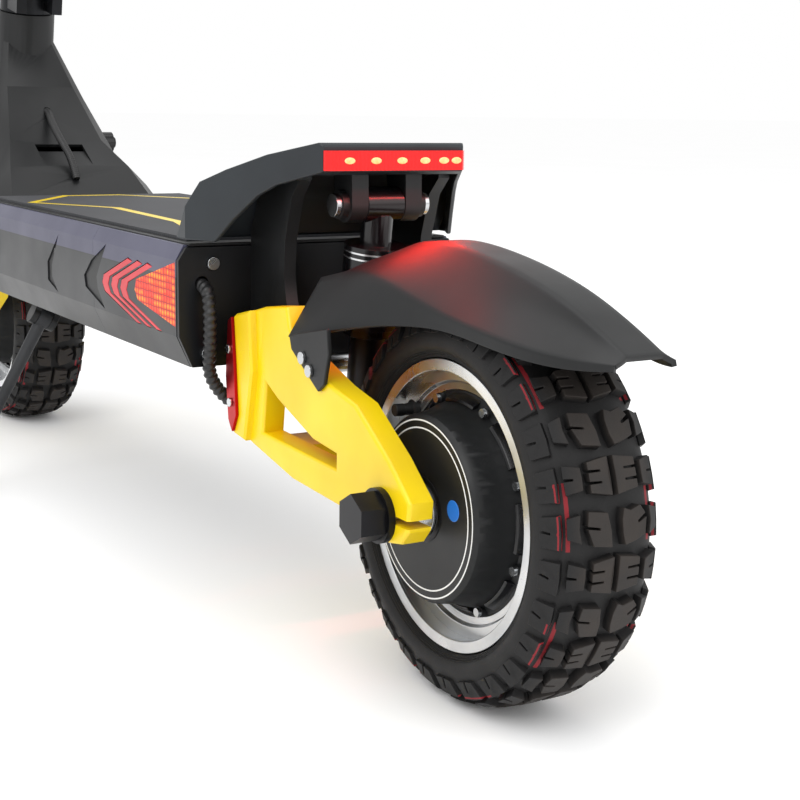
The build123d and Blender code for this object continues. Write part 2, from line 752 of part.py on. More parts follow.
with BuildPart() as deck_frame:
    with BuildSketch(Plane.YZ.offset(frame_rear_x)):
        Polygon(*deck_section(frame_half_width, 0), align=None)
        Polygon(*deck_section(frame_half_width, frame_wall), align=None, mode=Mode.SUBTRACT)
    extrude(amount=deck_front_x - frame_rear_x)
    open_low = (frame_rear_x + 30, -frame_half_width + 22, deck_top_z - frame_wall - 1)
    open_high = (deck_front_x - 30, frame_half_width - 22, deck_top_z + 1)
    add(box_between(open_low, open_high), mode=Mode.SUBTRACT)
    for y in (-40, 40):
        rib_low = (frame_rear_x, y - 2, deck_bottom_z + frame_wall - 1)
        add(box_between(rib_low, (deck_front_x, y + 2, deck_bottom_z + frame_wall + 3)))
    add(port_cut, mode=Mode.SUBTRACT)
    add(stand_bracket.part)
save(deck_frame.part, "deck_frame")

cover_z = deck_top_z + cover_thickness
mat_z = cover_z + mat_thickness
with BuildPart() as deck_cover:
    cover_high = (deck_front_x - 12, cover_half_width, cover_z)
    add(box_between((mat_rear_x - 20, -cover_half_width, deck_top_z), cover_high))
save(deck_cover.part, "deck_cover")

stripe_width = 9.0
stripe_depth = 1.2


def stripe_polygons():
    """Left half of the stripe pattern: a bent line down the mat, an end band and a rear patch."""
    bent = [(rear_x + 640, 90), (rear_x + 551, 40), (rear_x + 386, 48), (rear_x + 270, 78)]
    shapes = []
    for (xa, ya), (xb, yb) in zip(bent, bent[1:]):
        half = stripe_width / 2
        shapes.append([(xa, ya - half), (xb, yb - half), (xb, yb + half), (xa, ya + half)])
    front_x_edge = deck_front_x - 22
    shapes.append([(rear_x + 640, 85.5), (front_x_edge, 20), (front_x_edge, 30), (rear_x + 640, 94.5)])
    shapes.append([(front_x_edge - 10, 0), (front_x_edge, 0), (front_x_edge, 30), (front_x_edge - 10, 36.5)])
    return shapes


with BuildPart() as mat_stripes:
    with BuildSketch(Plane.XY.offset(mat_z - stripe_depth)):
        for shape in stripe_polygons():
            Polygon(*shape, align=None)
        mirror(about=Plane.XZ)
    extrude(amount=stripe_depth)
save(mat_stripes.part, "mat_stripes")
with BuildPart() as deck_mat:
    add(box_between((mat_rear_x, -mat_half_width, cover_z), (deck_front_x - 16, mat_half_width, mat_z)))
    add(mat_stripes.part, mode=Mode.SUBTRACT)
save(deck_mat.part, "deck_mat")

conduit_radius = 5.0
conduit_hole = (rear_x + 225, 97.0, axle_z + 116)
end_screw_places = [(89, axle_z + 130), (94, axle_z + 66)]
end_screw_radius = 2.5
with BuildPart() as rear_end_plate:
    with BuildSketch(Plane.YZ.offset(deck_rear_x)):
        Polygon(*deck_section(deck_half_width, 0.3), align=None)
        with Locations(*[(side * y, z) for y, z in end_screw_places for side in (1, -1)]):
            Circle(end_screw_radius + seat_gap, mode=Mode.SUBTRACT)
        with Locations(conduit_hole[1:]):
            Circle(conduit_radius + seat_gap, mode=Mode.SUBTRACT)
    extrude(amount=end_plate_thickness - seat_gap)
save(rear_end_plate.part, "rear_end_plate")

skin_profile = [
    (104.6, deck_bottom_z), (deck_half_width, side_low_z), (deck_half_width, side_high_z),
    (109, deck_top_z + 1), (frame_half_width - 5.8, deck_top_z + 1),
    (frame_half_width - 5.8, deck_top_z + 0.1), (frame_half_width + skin_gap, side_high_z),
    (frame_half_width + skin_gap, side_low_z), (102.4, deck_bottom_z),
]
skin_start = deck_rear_x + end_plate_thickness + 0.5
corner_front_x = deck_rear_x + corner_length
inlay_depth = 1.6
reflector_outline = from_rear([(231, 131), (307, 111), (310, 103), (304, 96), (231, 85)])
crescent_outline = from_rear([
    (370, 132), (406, 116), (424, 102), (421, 93), (376, 80), (392, 95), (394, 104), (386, 114),
])
chevron_tips = (341.0, 361.0, 381.0)
chevron_stroke = 9.0


def chevron(tip_x):
    """Bent stripe that points forward, its tip at tip_x from the rear axle."""
    s = chevron_stroke
    return from_rear([
        (tip_x - 58, 126), (tip_x - 4, 108), (tip_x, 101), (tip_x - 6, 94), (tip_x - 76, 78),
        (tip_x - 76 - s, 78), (tip_x - 10 - s, 95), (tip_x - 5 - s, 101), (tip_x - 9 - s, 107),
        (tip_x - 58 - s, 124),
    ])


def skin(x0, x1):
    """Left side skin between two places along the deck."""
    with BuildPart() as panel:
        with BuildSketch(Plane.YZ.offset(x0)):
            Polygon(*skin_profile, align=None)
        extrude(amount=x1 - x0)
    return panel.part


with BuildPart() as corner_covers:
    add(skin(skin_start, corner_front_x))
    add(slab(reflector_outline, deck_half_width + 1, 5), mode=Mode.SUBTRACT)
    for tip_x in chevron_tips:
        if rear_x + tip_x < corner_front_x:
            add(slab(chevron(tip_x), deck_half_width + 1, inlay_depth + 1), mode=Mode.SUBTRACT)
    add(slab(crescent_outline, deck_half_width + 1, inlay_depth + 1), mode=Mode.SUBTRACT)
    mirror(about=Plane.XZ)
save(corner_covers.part, "corner_covers")

panel_front_x = deck_front_x - 10
panel_recess = from_rear([(487, 130), (519, 104), (519, 88), (492, 80), (507, 92), (507, 102)])
rib_places = (axle_z + 115, axle_z + 96)
with BuildPart() as side_panels:
    add(skin(corner_front_x + 0.3, panel_front_x))
    for outline in (crescent_outline, panel_recess):
        add(slab(outline, deck_half_width + 1, inlay_depth + 1), mode=Mode.SUBTRACT)
    for z in rib_places:
        add(box_between((rear_x + 430, deck_half_width - 1, z - 2), (rear_x + 500, deck_half_width, z + 2)))
    mirror(about=Plane.XZ)
    add(port_cut, mode=Mode.SUBTRACT)
save(side_panels.part, "side_panels")

with BuildPart() as side_reflectors:
    add(slab(reflector_outline, deck_half_width, deck_half_width - frame_half_width - skin_gap))
    mirror(about=Plane.XZ)
save(side_reflectors.part, "side_reflectors")

# Tail: bracket with pivot and shock ears, cover, lamp

bracket_outer_y = 59.0
bracket_thickness = 9.0
bracket_outline = [
    (225, 30), (225, 152), (212, 178), (193, 189), (165, 199), (148, 203), (148, 192), (160, 180), (170, 150),
    (172, 125), (168, 108), (161, 96), (163, 84), (176, 66), (177, 50), (186, 41),
]
bracket_top = [
    (225, 150), (212, 178), (193, 189), (165, 199), (134, 206.5), (134, 200.5), (163, 193), (190, 183),
    (207, 172), (219, 150),
]
ear_inner_y = 14.6
ear_outer_y = 27.3
shock_top_x, shock_top_z = shock_top

with BuildPart() as tail_bracket:
    add(slab(from_rear(bracket_outline), bracket_outer_y, bracket_thickness))
    add(cross_pin(pivot_x, pivot_z, 16, arm_inner_y - moving_gap, arm_inner_y - moving_gap - 34))
    add(slab(from_rear([(225, 52), (195, 44), (195, 72), (225, 66)]), bracket_outer_y, 25))
    add(cross_pin(shock_top_x, shock_top_z, 12, ear_outer_y, ear_outer_y - ear_inner_y))
    ear_web = from_rear([(133, 175), (157, 175), (160, 196), (134, 203)])
    add(slab(ear_web, ear_outer_y, ear_outer_y - ear_inner_y))
    add(cross_pin(shock_top_x, shock_top_z, 9.5, ear_outer_y + 5, 6))
    mirror(about=Plane.XZ)
    top_half = bracket_outer_y - bracket_thickness + 1
    add(slab(from_rear(bracket_top), top_half, 2 * top_half))
    add(cross_pin(pivot_x, pivot_z, pivot_bolt_radius + seat_gap, 90, 180), mode=Mode.SUBTRACT)
    add(cross_pin(shock_top_x, shock_top_z, shock_bolt_radius + seat_gap, 50, 100), mode=Mode.SUBTRACT)
save(tail_bracket.part, "tail_bracket")

with BuildPart() as frame_bolts:
    for y, z in end_screw_places:
        for side in (1, -1):
            with BuildSketch(Plane.YZ.offset(deck_rear_x - seat_gap)):
                with Locations((side * y, z)):
                    Circle(4.6)
            extrude(amount=-3)
            with BuildSketch(Plane.YZ.offset(deck_rear_x - 1)):
                with Locations((side * y, z)):
                    Circle(end_screw_radius)
            extrude(amount=12)
    add(cross_pin(pivot_x, pivot_z, pivot_bolt_radius, 82, 164))
    add(cross_pin(shock_top_x, shock_top_z, shock_bolt_radius, ear_outer_y + 6, 2 * ear_outer_y + 12))
    for outer_y in (ear_outer_y + 9, -ear_outer_y - 5 - seat_gap):
        add(cross_pin(shock_top_x, shock_top_z, 8, outer_y, 4 - seat_gap))
save(frame_bolts.part, "frame_bolts")

tail_half_width = 54.0
tail_front_half_width = 109.0
tail_rear_dx = 124.0
cover_wall = 4.0
tail_side_outline = [
    (243, 147), (215, 188), (195, 197), (165, 208), (124, 218), (124, 198), (158, 188), (172, 180),
    (190, 163), (204, 147),
]
tail_hollow = [
    (238, 140), (212, 183), (192, 192.5), (163, 203.5), (133, 211), (133, 190), (158, 170), (190, 140),
]


def tail_plan(inset):
    """Plan of the tail cover: full width at the deck, tapering rearward."""
    wide = tail_front_half_width - inset
    narrow = tail_half_width - inset
    return [
        (rear_x + 250, -wide), (rear_x + 226, -wide), (rear_x + tail_rear_dx - 1, -narrow),
        (rear_x + tail_rear_dx - 1, narrow), (rear_x + 226, wide), (rear_x + 250, wide),
    ]


def tail_wedge(outline, inset):
    """Side view outline across the tail, cut to the plan."""
    with BuildPart() as wedge:
        add(slab(from_rear(outline), deck_half_width, 2 * deck_half_width))
        with BuildSketch(Plane.XY.offset(deck_bottom_z)):
            Polygon(*tail_plan(inset), align=None)
        extrude(amount=300, mode=Mode.INTERSECT)
    return wedge.part


lamp_low_z = axle_z + 199.0
lamp_high_z = axle_z + 212.0
lens_depth = 5.0
lamp_x = rear_x + tail_rear_dx
with BuildPart() as tail_cover:
    add(tail_wedge(tail_side_outline, 0))
    chamfer(tail_cover.faces().sort_by(Axis.Z)[-1].edges().sort_by(Axis.X)[0], 3)
    add(tail_wedge(tail_hollow, cover_wall), mode=Mode.SUBTRACT)
    lamp_slot = box_between((lamp_x - 1, -46, lamp_low_z + 2.5), (lamp_x + 6, 46, lamp_high_z - 2.5))
    add(lamp_slot, mode=Mode.SUBTRACT)
save(tail_cover.part, "tail_cover")

with BuildPart() as tail_lens:
    lens_high = (lamp_x - seat_gap, tail_half_width, lamp_high_z)
    add(box_between((lamp_x - lens_depth, -tail_half_width, lamp_low_z), lens_high))
    chamfer(tail_lens.edges().filter_by(Axis.Z).sort_by(Axis.X)[:2], 3)
save(tail_lens.part, "tail_lens")

led_count = 6
with BuildPart() as tail_led_board:
    add(box_between((lamp_x + 3.5, -45.5, lamp_low_z + 3), (lamp_x + 5.5, 45.5, lamp_high_z - 3)))
    for step in range(led_count):
        led_y = 75 * (step / (led_count - 1) - 0.5)
        led_high = (lamp_x + 4, led_y + 2.5, lamp_high_z - 4)
        add(box_between((lamp_x + 1, led_y - 2.5, lamp_low_z + 4), led_high))
save(tail_led_board.part, "tail_led_board")

# Inside the deck

with BuildPart() as battery_pack:
    floor_z = deck_bottom_z + frame_wall + 3
    add(box_between((deck_rear_x + 90, -88, floor_z), (deck_rear_x + 430, 88, deck_top_z - frame_wall - 6)))
    fillet(battery_pack.edges().filter_by(Axis.Z), 6)
save(battery_pack.part, "battery_pack")
with BuildPart() as motor_controllers:
    for x in (deck_rear_x + 12, deck_rear_x + 440):
        add(box_between((x, -60, floor_z), (x + 70, 60, floor_z + 42)))
        for step in range(8):
            fin_y = -52.5 + 15 * step
            add(box_between((x, fin_y - 1.5, floor_z + 41), (x + 70, fin_y + 1.5, floor_z + 48)))
save(motor_controllers.part, "motor_controllers")

# Charge port and its cap, on the left near the front

cap_radius = 13.0
with BuildPart() as charge_port:
    add(cross_pin(port_x, port_z, port_radius, deck_half_width - 1, 24))
    add(cross_pin(port_x, port_z, port_radius - 3, deck_half_width, 14), mode=Mode.SUBTRACT)
save(charge_port.part, "charge_port")
hinge_z = port_z + cap_radius + 2.5
cap_y = deck_half_width + 0.4
with BuildPart() as charge_cap:
    add(cross_pin(port_x, port_z, cap_radius, cap_y + 3, 3))
    add(box_between((port_x - 5, cap_y, port_z + 8), (port_x + 5, cap_y + 3, hinge_z)))
    with BuildSketch(Plane.YZ.offset(port_x - 5)):
        with Locations((cap_y + 2, hinge_z)):
            Circle(2)
    extrude(amount=10)
save(charge_cap.part, "charge_cap")

# Neck: hollow casting from the deck's front to the head tube

head_tube_radius = 31.0
head_bore_radius = 25.0
head_tube_low = -55.0
head_tube_high = 50.0
bearing_height = 12.0
neck_wall = 4.0
fork_room_radius = 67.0
fork_room_low = -130.0
fork_room_high = -40.0
neck_stations = [
    (deck_front_x + 0.1, 98, 184, 268),
    (deck_front_x + 40, 84, 200, 300),
    (deck_front_x + 85, 66, 251, 326),
    (deck_front_x + 135, 48, 319, 382),
    (deck_front_x + 175, 27, 372, 442),
]


def neck_ring(half, low, high, inset):
    """Eight-sided section across the neck, taken in by inset."""
    side = half - inset
    cut = 0.24 * half
    return [
        (-side + cut, low + inset), (side - cut, low + inset), (side, low + cut), (side, high - cut),
        (side - cut, high - inset), (-side + cut, high - inset), (-side, high - cut), (-side, low + cut),
    ]


neck_cable_radius = 4.0
neck_route = [
    (deck_front_x + 22, 0, 288), (deck_front_x + 34, 0, 308), (deck_front_x + 54, 6, 328),
    (deck_front_x + 82, 6, 346), (deck_front_x + 108, 0, 356), (deck_front_x + 134, 0, 358),
]

with BuildPart() as neck:
    for (x0, half0, low0, high0), (x1, half1, low1, high1) in zip(neck_stations, neck_stations[1:]):
        add(cross_loft(x0, neck_ring(half0, low0, high0, 0), x1, neck_ring(half1, low1, high1, 0)))
    for (x0, half0, low0, high0), (x1, half1, low1, high1) in zip(neck_stations[:-1], neck_stations[1:-1]):
        start = x0 + (neck_wall if x0 < deck_front_x + 1 else 0)
        outer0 = neck_ring(half0, low0, high0, neck_wall)
        outer1 = neck_ring(half1, low1, high1, neck_wall)
        add(cross_loft(start, outer0, x1, outer1), mode=Mode.SUBTRACT)
    with BuildSketch(head_plane.offset(head_tube_low)):
        Circle(head_tube_radius)
    extrude(amount=head_tube_high - head_tube_low)
    with BuildSketch(head_plane.offset(head_tube_low - 20)):
        Circle(head_bore_radius)
    extrude(amount=head_tube_high - head_tube_low + 40, mode=Mode.SUBTRACT)
    recess = [
        (deck_front_x + 30, 296), (deck_front_x + 80, 318), (deck_front_x + 66, 340), (deck_front_x + 10, 310),
    ]
    add(slab(recess, 26, 52), mode=Mode.SUBTRACT)
    add(tube_along(neck_route, neck_cable_radius + seat_gap, "neck_cable_hole"), mode=Mode.SUBTRACT)
    with BuildSketch(head_plane.offset(fork_room_low)):
        Circle(fork_room_radius)
        Circle(head_tube_radius, mode=Mode.SUBTRACT)
    extrude(amount=fork_room_high - fork_room_low, mode=Mode.SUBTRACT)
save(neck.part, "neck")

with BuildPart() as head_bearings:
    for start in (head_tube_low, head_tube_high - bearing_height):
        with BuildSketch(head_plane.offset(start)):
            Circle(head_bore_radius - seat_gap)
            Circle(steerer_radius + running_fit, mode=Mode.SUBTRACT)
        extrude(amount=bearing_height)
save(head_bearings.part, "head_bearings")

# Steering column: base over the head tube, fold hinge, stem

base_low = head_tube_high + 1.0
base_high = base_low + 45.0
base_radius = 28.0
hinge_local_x = -40.0
hinge_local_z = base_high - 2.0
hinge_pin_radius = 5.0
knuckle_radius = 9.5
ear_gap_y = 14.0
ear_thick = 11.0
stem_radius = 23.0
stem_wall = 3.0
column_low = base_high + 0.4
hinge_point = head_plane.from_local_coords((hinge_local_x, 0, hinge_local_z))


def column_box(low, high):
    """A block given in the steering axis' own directions."""
    size = [b - a for a, b in zip(low, high)]
    with BuildPart() as block:
        with BuildSketch(head_plane.offset(low[2])):
            with Locations(((low[0] + high[0]) / 2, (low[1] + high[1]) / 2)):
                Rectangle(size[0], size[1])
        extrude(amount=size[2])
    return block.part


with BuildPart() as stem_base:
    with BuildSketch(head_plane.offset(base_low)):
        Circle(base_radius)
    extrude(amount=base_high - base_low)
    for low_y in (ear_gap_y, -ear_gap_y - ear_thick):
        add(column_box((hinge_local_x - 8, low_y, base_low + 4), (-14, low_y + ear_thick, hinge_local_z)))
        add(cross_pin(hinge_point.X, hinge_point.Z, knuckle_radius, low_y + ear_thick, ear_thick))
    with BuildSketch(head_plane.offset(base_low - 1)):
        Circle(steerer_radius + seat_gap)
    extrude(amount=44, mode=Mode.SUBTRACT)
    add(column_box((base_radius - 6, -9, base_low + 6), (base_radius + 4, -6.3, base_low + 26)))
    add(column_box((base_radius - 6, 6.3, base_low + 6), (base_radius + 4, 9, base_low + 26)))
    pin_length = 2 * (ear_gap_y + ear_thick)
    add(cross_pin(hinge_point.X, hinge_point.Z, hinge_pin_radius, pin_length / 2, pin_length))
save(stem_base.part, "stem_base")

lever_point = head_plane.from_local_coords((base_radius + 6, 0, base_low + 16))
with BuildPart() as fold_lever:
    add(cross_pin(lever_point.X, lever_point.Z, 5.5, 6, 12))
    add(column_box((base_radius + 3.5, -6, base_low + 16), (base_radius + 9.5, 6, base_high + 40)))
    add(column_box((base_radius + 3.5, -13, base_high + 8), (base_radius + 9.5, 13, base_high + 42)))
    fillet(fold_lever.edges().filter_by(lambda edge: edge.length > 20), 1.5)
save(fold_lever.part, "fold_lever")

clamp_low = bar_height_on_stem - 24.0
with BuildPart() as stem_tube:
    with BuildSketch(head_plane.offset(column_low)):
        Circle(base_radius)
    extrude(amount=34)
    with BuildSketch(head_plane.offset(column_low + 34)):
        Circle(base_radius)
    extrude(amount=12, taper=20)
    with BuildSketch(head_plane.offset(column_low + 20)):
        Circle(stem_radius)
    extrude(amount=clamp_low - column_low - 20)
    with BuildSketch(head_plane.offset(column_low + 12)):
        Circle(stem_radius - stem_wall)
    extrude(amount=clamp_low - column_low - 20, mode=Mode.SUBTRACT)
    knuckle_half = ear_gap_y - moving_gap
    add(cross_pin(hinge_point.X, hinge_point.Z, knuckle_radius, knuckle_half, 2 * knuckle_half))
    add(column_box((hinge_local_x - 8, -knuckle_half, column_low), (-18, knuckle_half, column_low + 26)))
    add(cross_pin(hinge_point.X, hinge_point.Z, hinge_pin_radius + running_fit, 20, 40), mode=Mode.SUBTRACT)
    add(column_box((-26, -34, clamp_low), (26, 34, bar_height_on_stem + 24)))
    bar_point = head_plane.from_local_coords((0, 0, bar_height_on_stem))
    bar_bore = bar_radius + seat_gap
    add(cross_pin(bar_point.X, bar_point.Z, bar_bore, 40, 80), mode=Mode.SUBTRACT)
save(stem_tube.part, "stem_tube")

# Handlebar, grips, brake levers, throttle, display, switches

grip_length = 118.0
grip_radius = 16.0
perch_y = 168.0
perch_width = 22.0
lever_reach = 46.0
lever_length = 120.0


def bar_cylinder(radius, outer_y, length):
    """A cylinder on the handlebar's own axis."""
    return cross_pin(bar_point.X, bar_point.Z, radius, outer_y, length)


def bar_box(low, high):
    """A block given from the handlebar's middle, x forward and z up."""
    shift = (bar_point.X, 0, bar_point.Z)
    return box_between([a + b for a, b in zip(low, shift)], [a + b for a, b in zip(high, shift)])


with BuildPart() as handlebar:
    add(bar_cylinder(bar_radius, bar_half_length - 3, 2 * bar_half_length - 6))
    add(bar_cylinder(bar_radius - 2, bar_half_length, 2 * bar_half_length), mode=Mode.SUBTRACT)
    for side in (1, -1):
        outer = side * perch_y + perch_width / 2
        perch_box_low = (12, side * perch_y - 11, -10)
        add(bar_cylinder(16, outer, perch_width))
        add(bar_box(perch_box_low, (lever_reach - 14, side * perch_y + 11, 6)))
        low_y = side * perch_y - perch_width / 2
        high_y = side * perch_y + perch_width / 2
        for z0, z1 in ((-14, -9.3), (5.3, 9)):
            add(bar_box((lever_reach - 16, low_y, z0), (lever_reach + 7, high_y, z1)))
        add(bar_box((lever_reach - 16, low_y, -14), (lever_reach - 12, high_y, 9)))
        add(bar_cylinder(bar_radius - 2, outer + 1, perch_width + 2), mode=Mode.SUBTRACT)
        with BuildSketch(Plane.XY.offset(bar_point.Z - 12)):
            with Locations((bar_point.X + lever_reach, side * perch_y)):
                Circle(3)
        extrude(amount=20)
save(handlebar.part, "handlebar")

with BuildPart() as grips:
    for side in (1, -1):
        outer = bar_half_length if side > 0 else -(bar_half_length - grip_length)
        add(bar_cylinder(grip_radius, outer, grip_length))
        bore_outer = bar_half_length - 3 + seat_gap if side > 0 else outer + 1
        add(bar_cylinder(bar_radius + seat_gap, bore_outer, grip_length - 2 + seat_gap), mode=Mode.SUBTRACT)
save(grips.part, "grips")


def brake_lever(side):
    """Forged lever blade that pivots on the perch's upright pin."""
    start_y = side * perch_y
    x0 = bar_point.X + lever_reach
    blade = [
        (x0 - 7, start_y - side * 8), (x0 + 8, start_y - side * 8), (x0 + 11, start_y + side * 20),
        (x0 + 2, start_y + side * 60), (x0 + 6, start_y + side * lever_length),
        (x0 - 4, start_y + side * (lever_length + 3)), (x0 - 8, start_y + side * 60),
        (x0 - 1, start_y + side * 22),
        (x0 - 7, start_y + side * 12),
    ]
    with BuildPart() as lever:
        with BuildSketch(Plane.XY.offset(bar_point.Z - 9)):
            Polygon(*blade, align=None)
        extrude(amount=14)
        with BuildSketch(Plane.XY.offset(bar_point.Z - 20)):
            with Locations((x0, start_y)):
                Circle(3 + running_fit)
        extrude(amount=40, mode=Mode.SUBTRACT)
    return lever.part


save(brake_lever(1), "brake_lever_left")
save(brake_lever(-1), "brake_lever_right")

display_y = -82.0
display_half = 30.0
pod_y = 104.0
pod_half = 22.0
button_radius = 6.0
button_travel = 2.0
button_places = {"horn_button": pod_y - 9, "light_button": pod_y + 9}
throttle_y = display_y - 48
with BuildPart() as display:
    add(bar_box((-34, display_y - display_half, 20), (34, display_y + display_half, 34)))
    chamfer(display.edges().filter_by(Axis.Z), 8)
    add(bar_box((-14, display_y - 14, 4), (14, display_y + 14, 21)))
    add(bar_cylinder(16, display_y + 14, 28))
    add(bar_cylinder(16, throttle_y + 8, 16))
    add(bar_box((-8, throttle_y - 8, 0), (8, display_y, 12)))
    add(bar_box((-20, pod_y - pod_half, -17), (17, pod_y + pod_half, 17)))
    add(bar_cylinder(bar_radius + seat_gap, pod_y + 60, 2 * pod_y + 120), mode=Mode.SUBTRACT)
    for y in button_places.values():
        with BuildSketch(Plane.YZ.offset(bar_point.X - 21)):
            with Locations((y, bar_point.Z + 3)):
                Circle(button_radius + moving_gap)
        extrude(amount=7, mode=Mode.SUBTRACT)
save(display.part, "display")

for name, y in button_places.items():
    with BuildPart() as button:
        with BuildSketch(Plane.YZ.offset(bar_point.X - 22.5)):
            with Locations((y, bar_point.Z + 3)):
                Circle(button_radius)
        extrude(amount=22.5 - 14 - button_travel - moving_gap)
    save(button.part, name)

throttle_ring_y = throttle_y - 8 - moving_gap
with BuildPart() as throttle_lever:
    add(bar_cylinder(16, throttle_ring_y, 12))
    add(bar_box((-34, throttle_ring_y - 10, -14), (-8, throttle_ring_y - 2, -6)))
    add(bar_box((-38, throttle_ring_y - 20, -18), (-30, throttle_ring_y - 2, -4)))
    add(bar_cylinder(bar_radius + running_fit, throttle_ring_y + 1, 14), mode=Mode.SUBTRACT)
save(throttle_lever.part, "throttle_lever")

# Headlight on the stem base, beside the lever

lamp_radius = 24.0
with BuildPart() as headlight:
    lamp_point = head_plane.from_local_coords((0, 0, (crown_bottom + crown_top) / 2))
    lamp_front = lamp_point.X + 76
    with BuildSketch(Plane.YZ.offset(lamp_front - 34)):
        with Locations((0, lamp_point.Z)):
            Circle(lamp_radius - 8)
    with BuildSketch(Plane.YZ.offset(lamp_front)):
        with Locations((0, lamp_point.Z)):
            Circle(lamp_radius)
    loft()
    add(box_between((lamp_point.X + 33.5, -10, lamp_point.Z - 8), (lamp_front - 30, 10, lamp_point.Z + 8)))
save(headlight.part, "headlight")

# Motor conduit: one stretch on the frame, one on the swing arm, and the cable in the neck's recess

cx, cy, cz = conduit_hole
frame_route = [
    (cx + 18, cy, cz), (cx - 7.5, cy, cz), (cx - 15.5, cy + 1, cz - 13), (cx - 16, cy + 1, cz - 31),
    (cx - 12.5, cy, cz - 45.8),
]
arm_route = [
    (cx - 12, cy, cz - 48), (cx - 8, cy - 1, cz - 64), (cx - 5, cy - 12, cz - 80),
    (cx - 7, cy - 28, cz - 92),
    (cx - 17, cy - 42, cz - 100),
]
save(tube_along(frame_route, conduit_radius, "frame_conduit"), "frame_conduit")
save(tube_along(arm_route, conduit_radius, "arm_conduit"), "arm_conduit")

save(tube_along(neck_route, neck_cable_radius, "neck_cable"), "neck_cable")
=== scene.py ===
import math

import bmesh
import bpy
from mathutils import Matrix, Vector


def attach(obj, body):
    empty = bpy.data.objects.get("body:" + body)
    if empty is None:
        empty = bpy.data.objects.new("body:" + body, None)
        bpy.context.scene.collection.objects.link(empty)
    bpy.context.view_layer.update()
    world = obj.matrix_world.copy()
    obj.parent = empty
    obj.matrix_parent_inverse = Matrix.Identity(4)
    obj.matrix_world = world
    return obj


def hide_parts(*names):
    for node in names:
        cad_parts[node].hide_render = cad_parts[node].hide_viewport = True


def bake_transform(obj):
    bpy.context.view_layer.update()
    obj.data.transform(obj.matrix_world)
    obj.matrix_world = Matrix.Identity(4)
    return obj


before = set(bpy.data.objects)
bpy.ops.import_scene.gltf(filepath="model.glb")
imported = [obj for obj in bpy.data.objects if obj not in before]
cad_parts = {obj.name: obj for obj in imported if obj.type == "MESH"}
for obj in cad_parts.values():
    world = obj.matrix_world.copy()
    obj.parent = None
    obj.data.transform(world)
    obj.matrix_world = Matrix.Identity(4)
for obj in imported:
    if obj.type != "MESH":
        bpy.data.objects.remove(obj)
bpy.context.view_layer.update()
mm = 0.001

wheels = {"rearX": -0.4895, "frontX": 0.4955, "axleZ": 0.1275}


# Camera

cameraSettings = {
    "place": (-1.24485, 0.51825, 0.37009),
    "yaw": -0.5386,
    "down": 0.1943,
    "roll": 0.0169,
    "lensMm": 67.66,
    "sensorMm": 36.0,
}


def makeCamera():
    yaw, down, roll = (cameraSettings[key] for key in ("yaw", "down", "roll"))
    forward = Vector((math.cos(yaw) * math.cos(down), math.sin(yaw) * math.cos(down), -math.sin(down)))
    level = Vector((math.sin(yaw), -math.cos(yaw), 0))
    upright = level.cross(forward)
    right = level * math.cos(roll) + upright * math.sin(roll)
    up = upright * math.cos(roll) - level * math.sin(roll)
    turn = Matrix((right, up, -forward)).transposed().to_4x4()
    data = bpy.data.cameras.new("camera")
    data.lens = cameraSettings["lensMm"]
    data.sensor_width = cameraSettings["sensorMm"]
    camera = bpy.data.objects.new("camera", data)
    camera.matrix_world = Matrix.Translation(cameraSettings["place"]) @ turn
    bpy.context.collection.objects.link(camera)
    bpy.context.scene.camera = camera


makeCamera()
bpy.context.scene.view_settings.view_transform = "Standard"


def toLinear(hexCode):
    # the standard sRGB curve, from a hex colour to linear light with full alpha
    channels = [int(hexCode[at:at + 2], 16) / 255 for at in (0, 2, 4)]
    return tuple(c / 12.92 if c <= 0.04045 else ((c + 0.055) / 1.055) ** 2.4 for c in channels) + (1.0,)


def addNode(tree, kind, settings=None, links=None):
    node = tree.nodes.new("ShaderNode" + kind)
    for name, value in (settings or {}).items():
        if isinstance(name, str) and hasattr(node, name):
            setattr(node, name, value)
        else:
            node.inputs[name].default_value = value
    for name, source in (links or {}).items():
        tree.links.new(source, node.inputs[name])
    return node


def startMaterial(name):
    material = bpy.data.materials.new(name)
    material.use_nodes = True
    tree = material.node_tree
    return material, tree, tree.nodes["Principled BSDF"], addNode(tree, "TexCoord").outputs["Object"]


def mixColours(tree, factor, first, second):
    settings = {"data_type": "RGBA"}
    links = {0: factor}
    for index, colour in ((6, first), (7, second)):
        if isinstance(colour, str):
            settings[index] = toLinear(colour)
        else:
            links[index] = colour
    return addNode(tree, "Mix", settings, links).outputs[2]


# the part of a noise texture's range that most of its values fall in
noiseSpan = {"low": 0.3, "high": 0.7}


def addGrain(tree, shader, place, look):
    # uneven tone over a hand's width, then the fine grain of the surface itself
    mottle = addNode(
        tree, "TexNoise", {"Scale": 1 / (look["mottleMm"] * mm), "Detail": 4.0}, {"Vector": place}
    )
    grain = addNode(
        tree, "TexNoise", {"Scale": 1 / (look["grainMm"] * mm), "Detail": 2.0}, {"Vector": place}
    )
    spread = look["roughSpread"]
    rough = addNode(
        tree, "MapRange",
        {
            "From Min": noiseSpan["low"], "From Max": noiseSpan["high"],
            "To Min": look["rough"] - spread, "To Max": look["rough"] + spread,
        },
        {"Value": mottle.outputs["Fac"]},
    )
    tree.links.new(rough.outputs["Result"], shader.inputs["Roughness"])
    bump = addNode(
        tree, "Bump", {"Strength": look["bump"], "Distance": look["depthMm"] * mm},
        {"Height": grain.outputs["Fac"]},
    )
    tree.links.new(bump.outputs["Normal"], shader.inputs["Normal"])
    return mottle.outputs["Fac"], grain.outputs["Fac"]


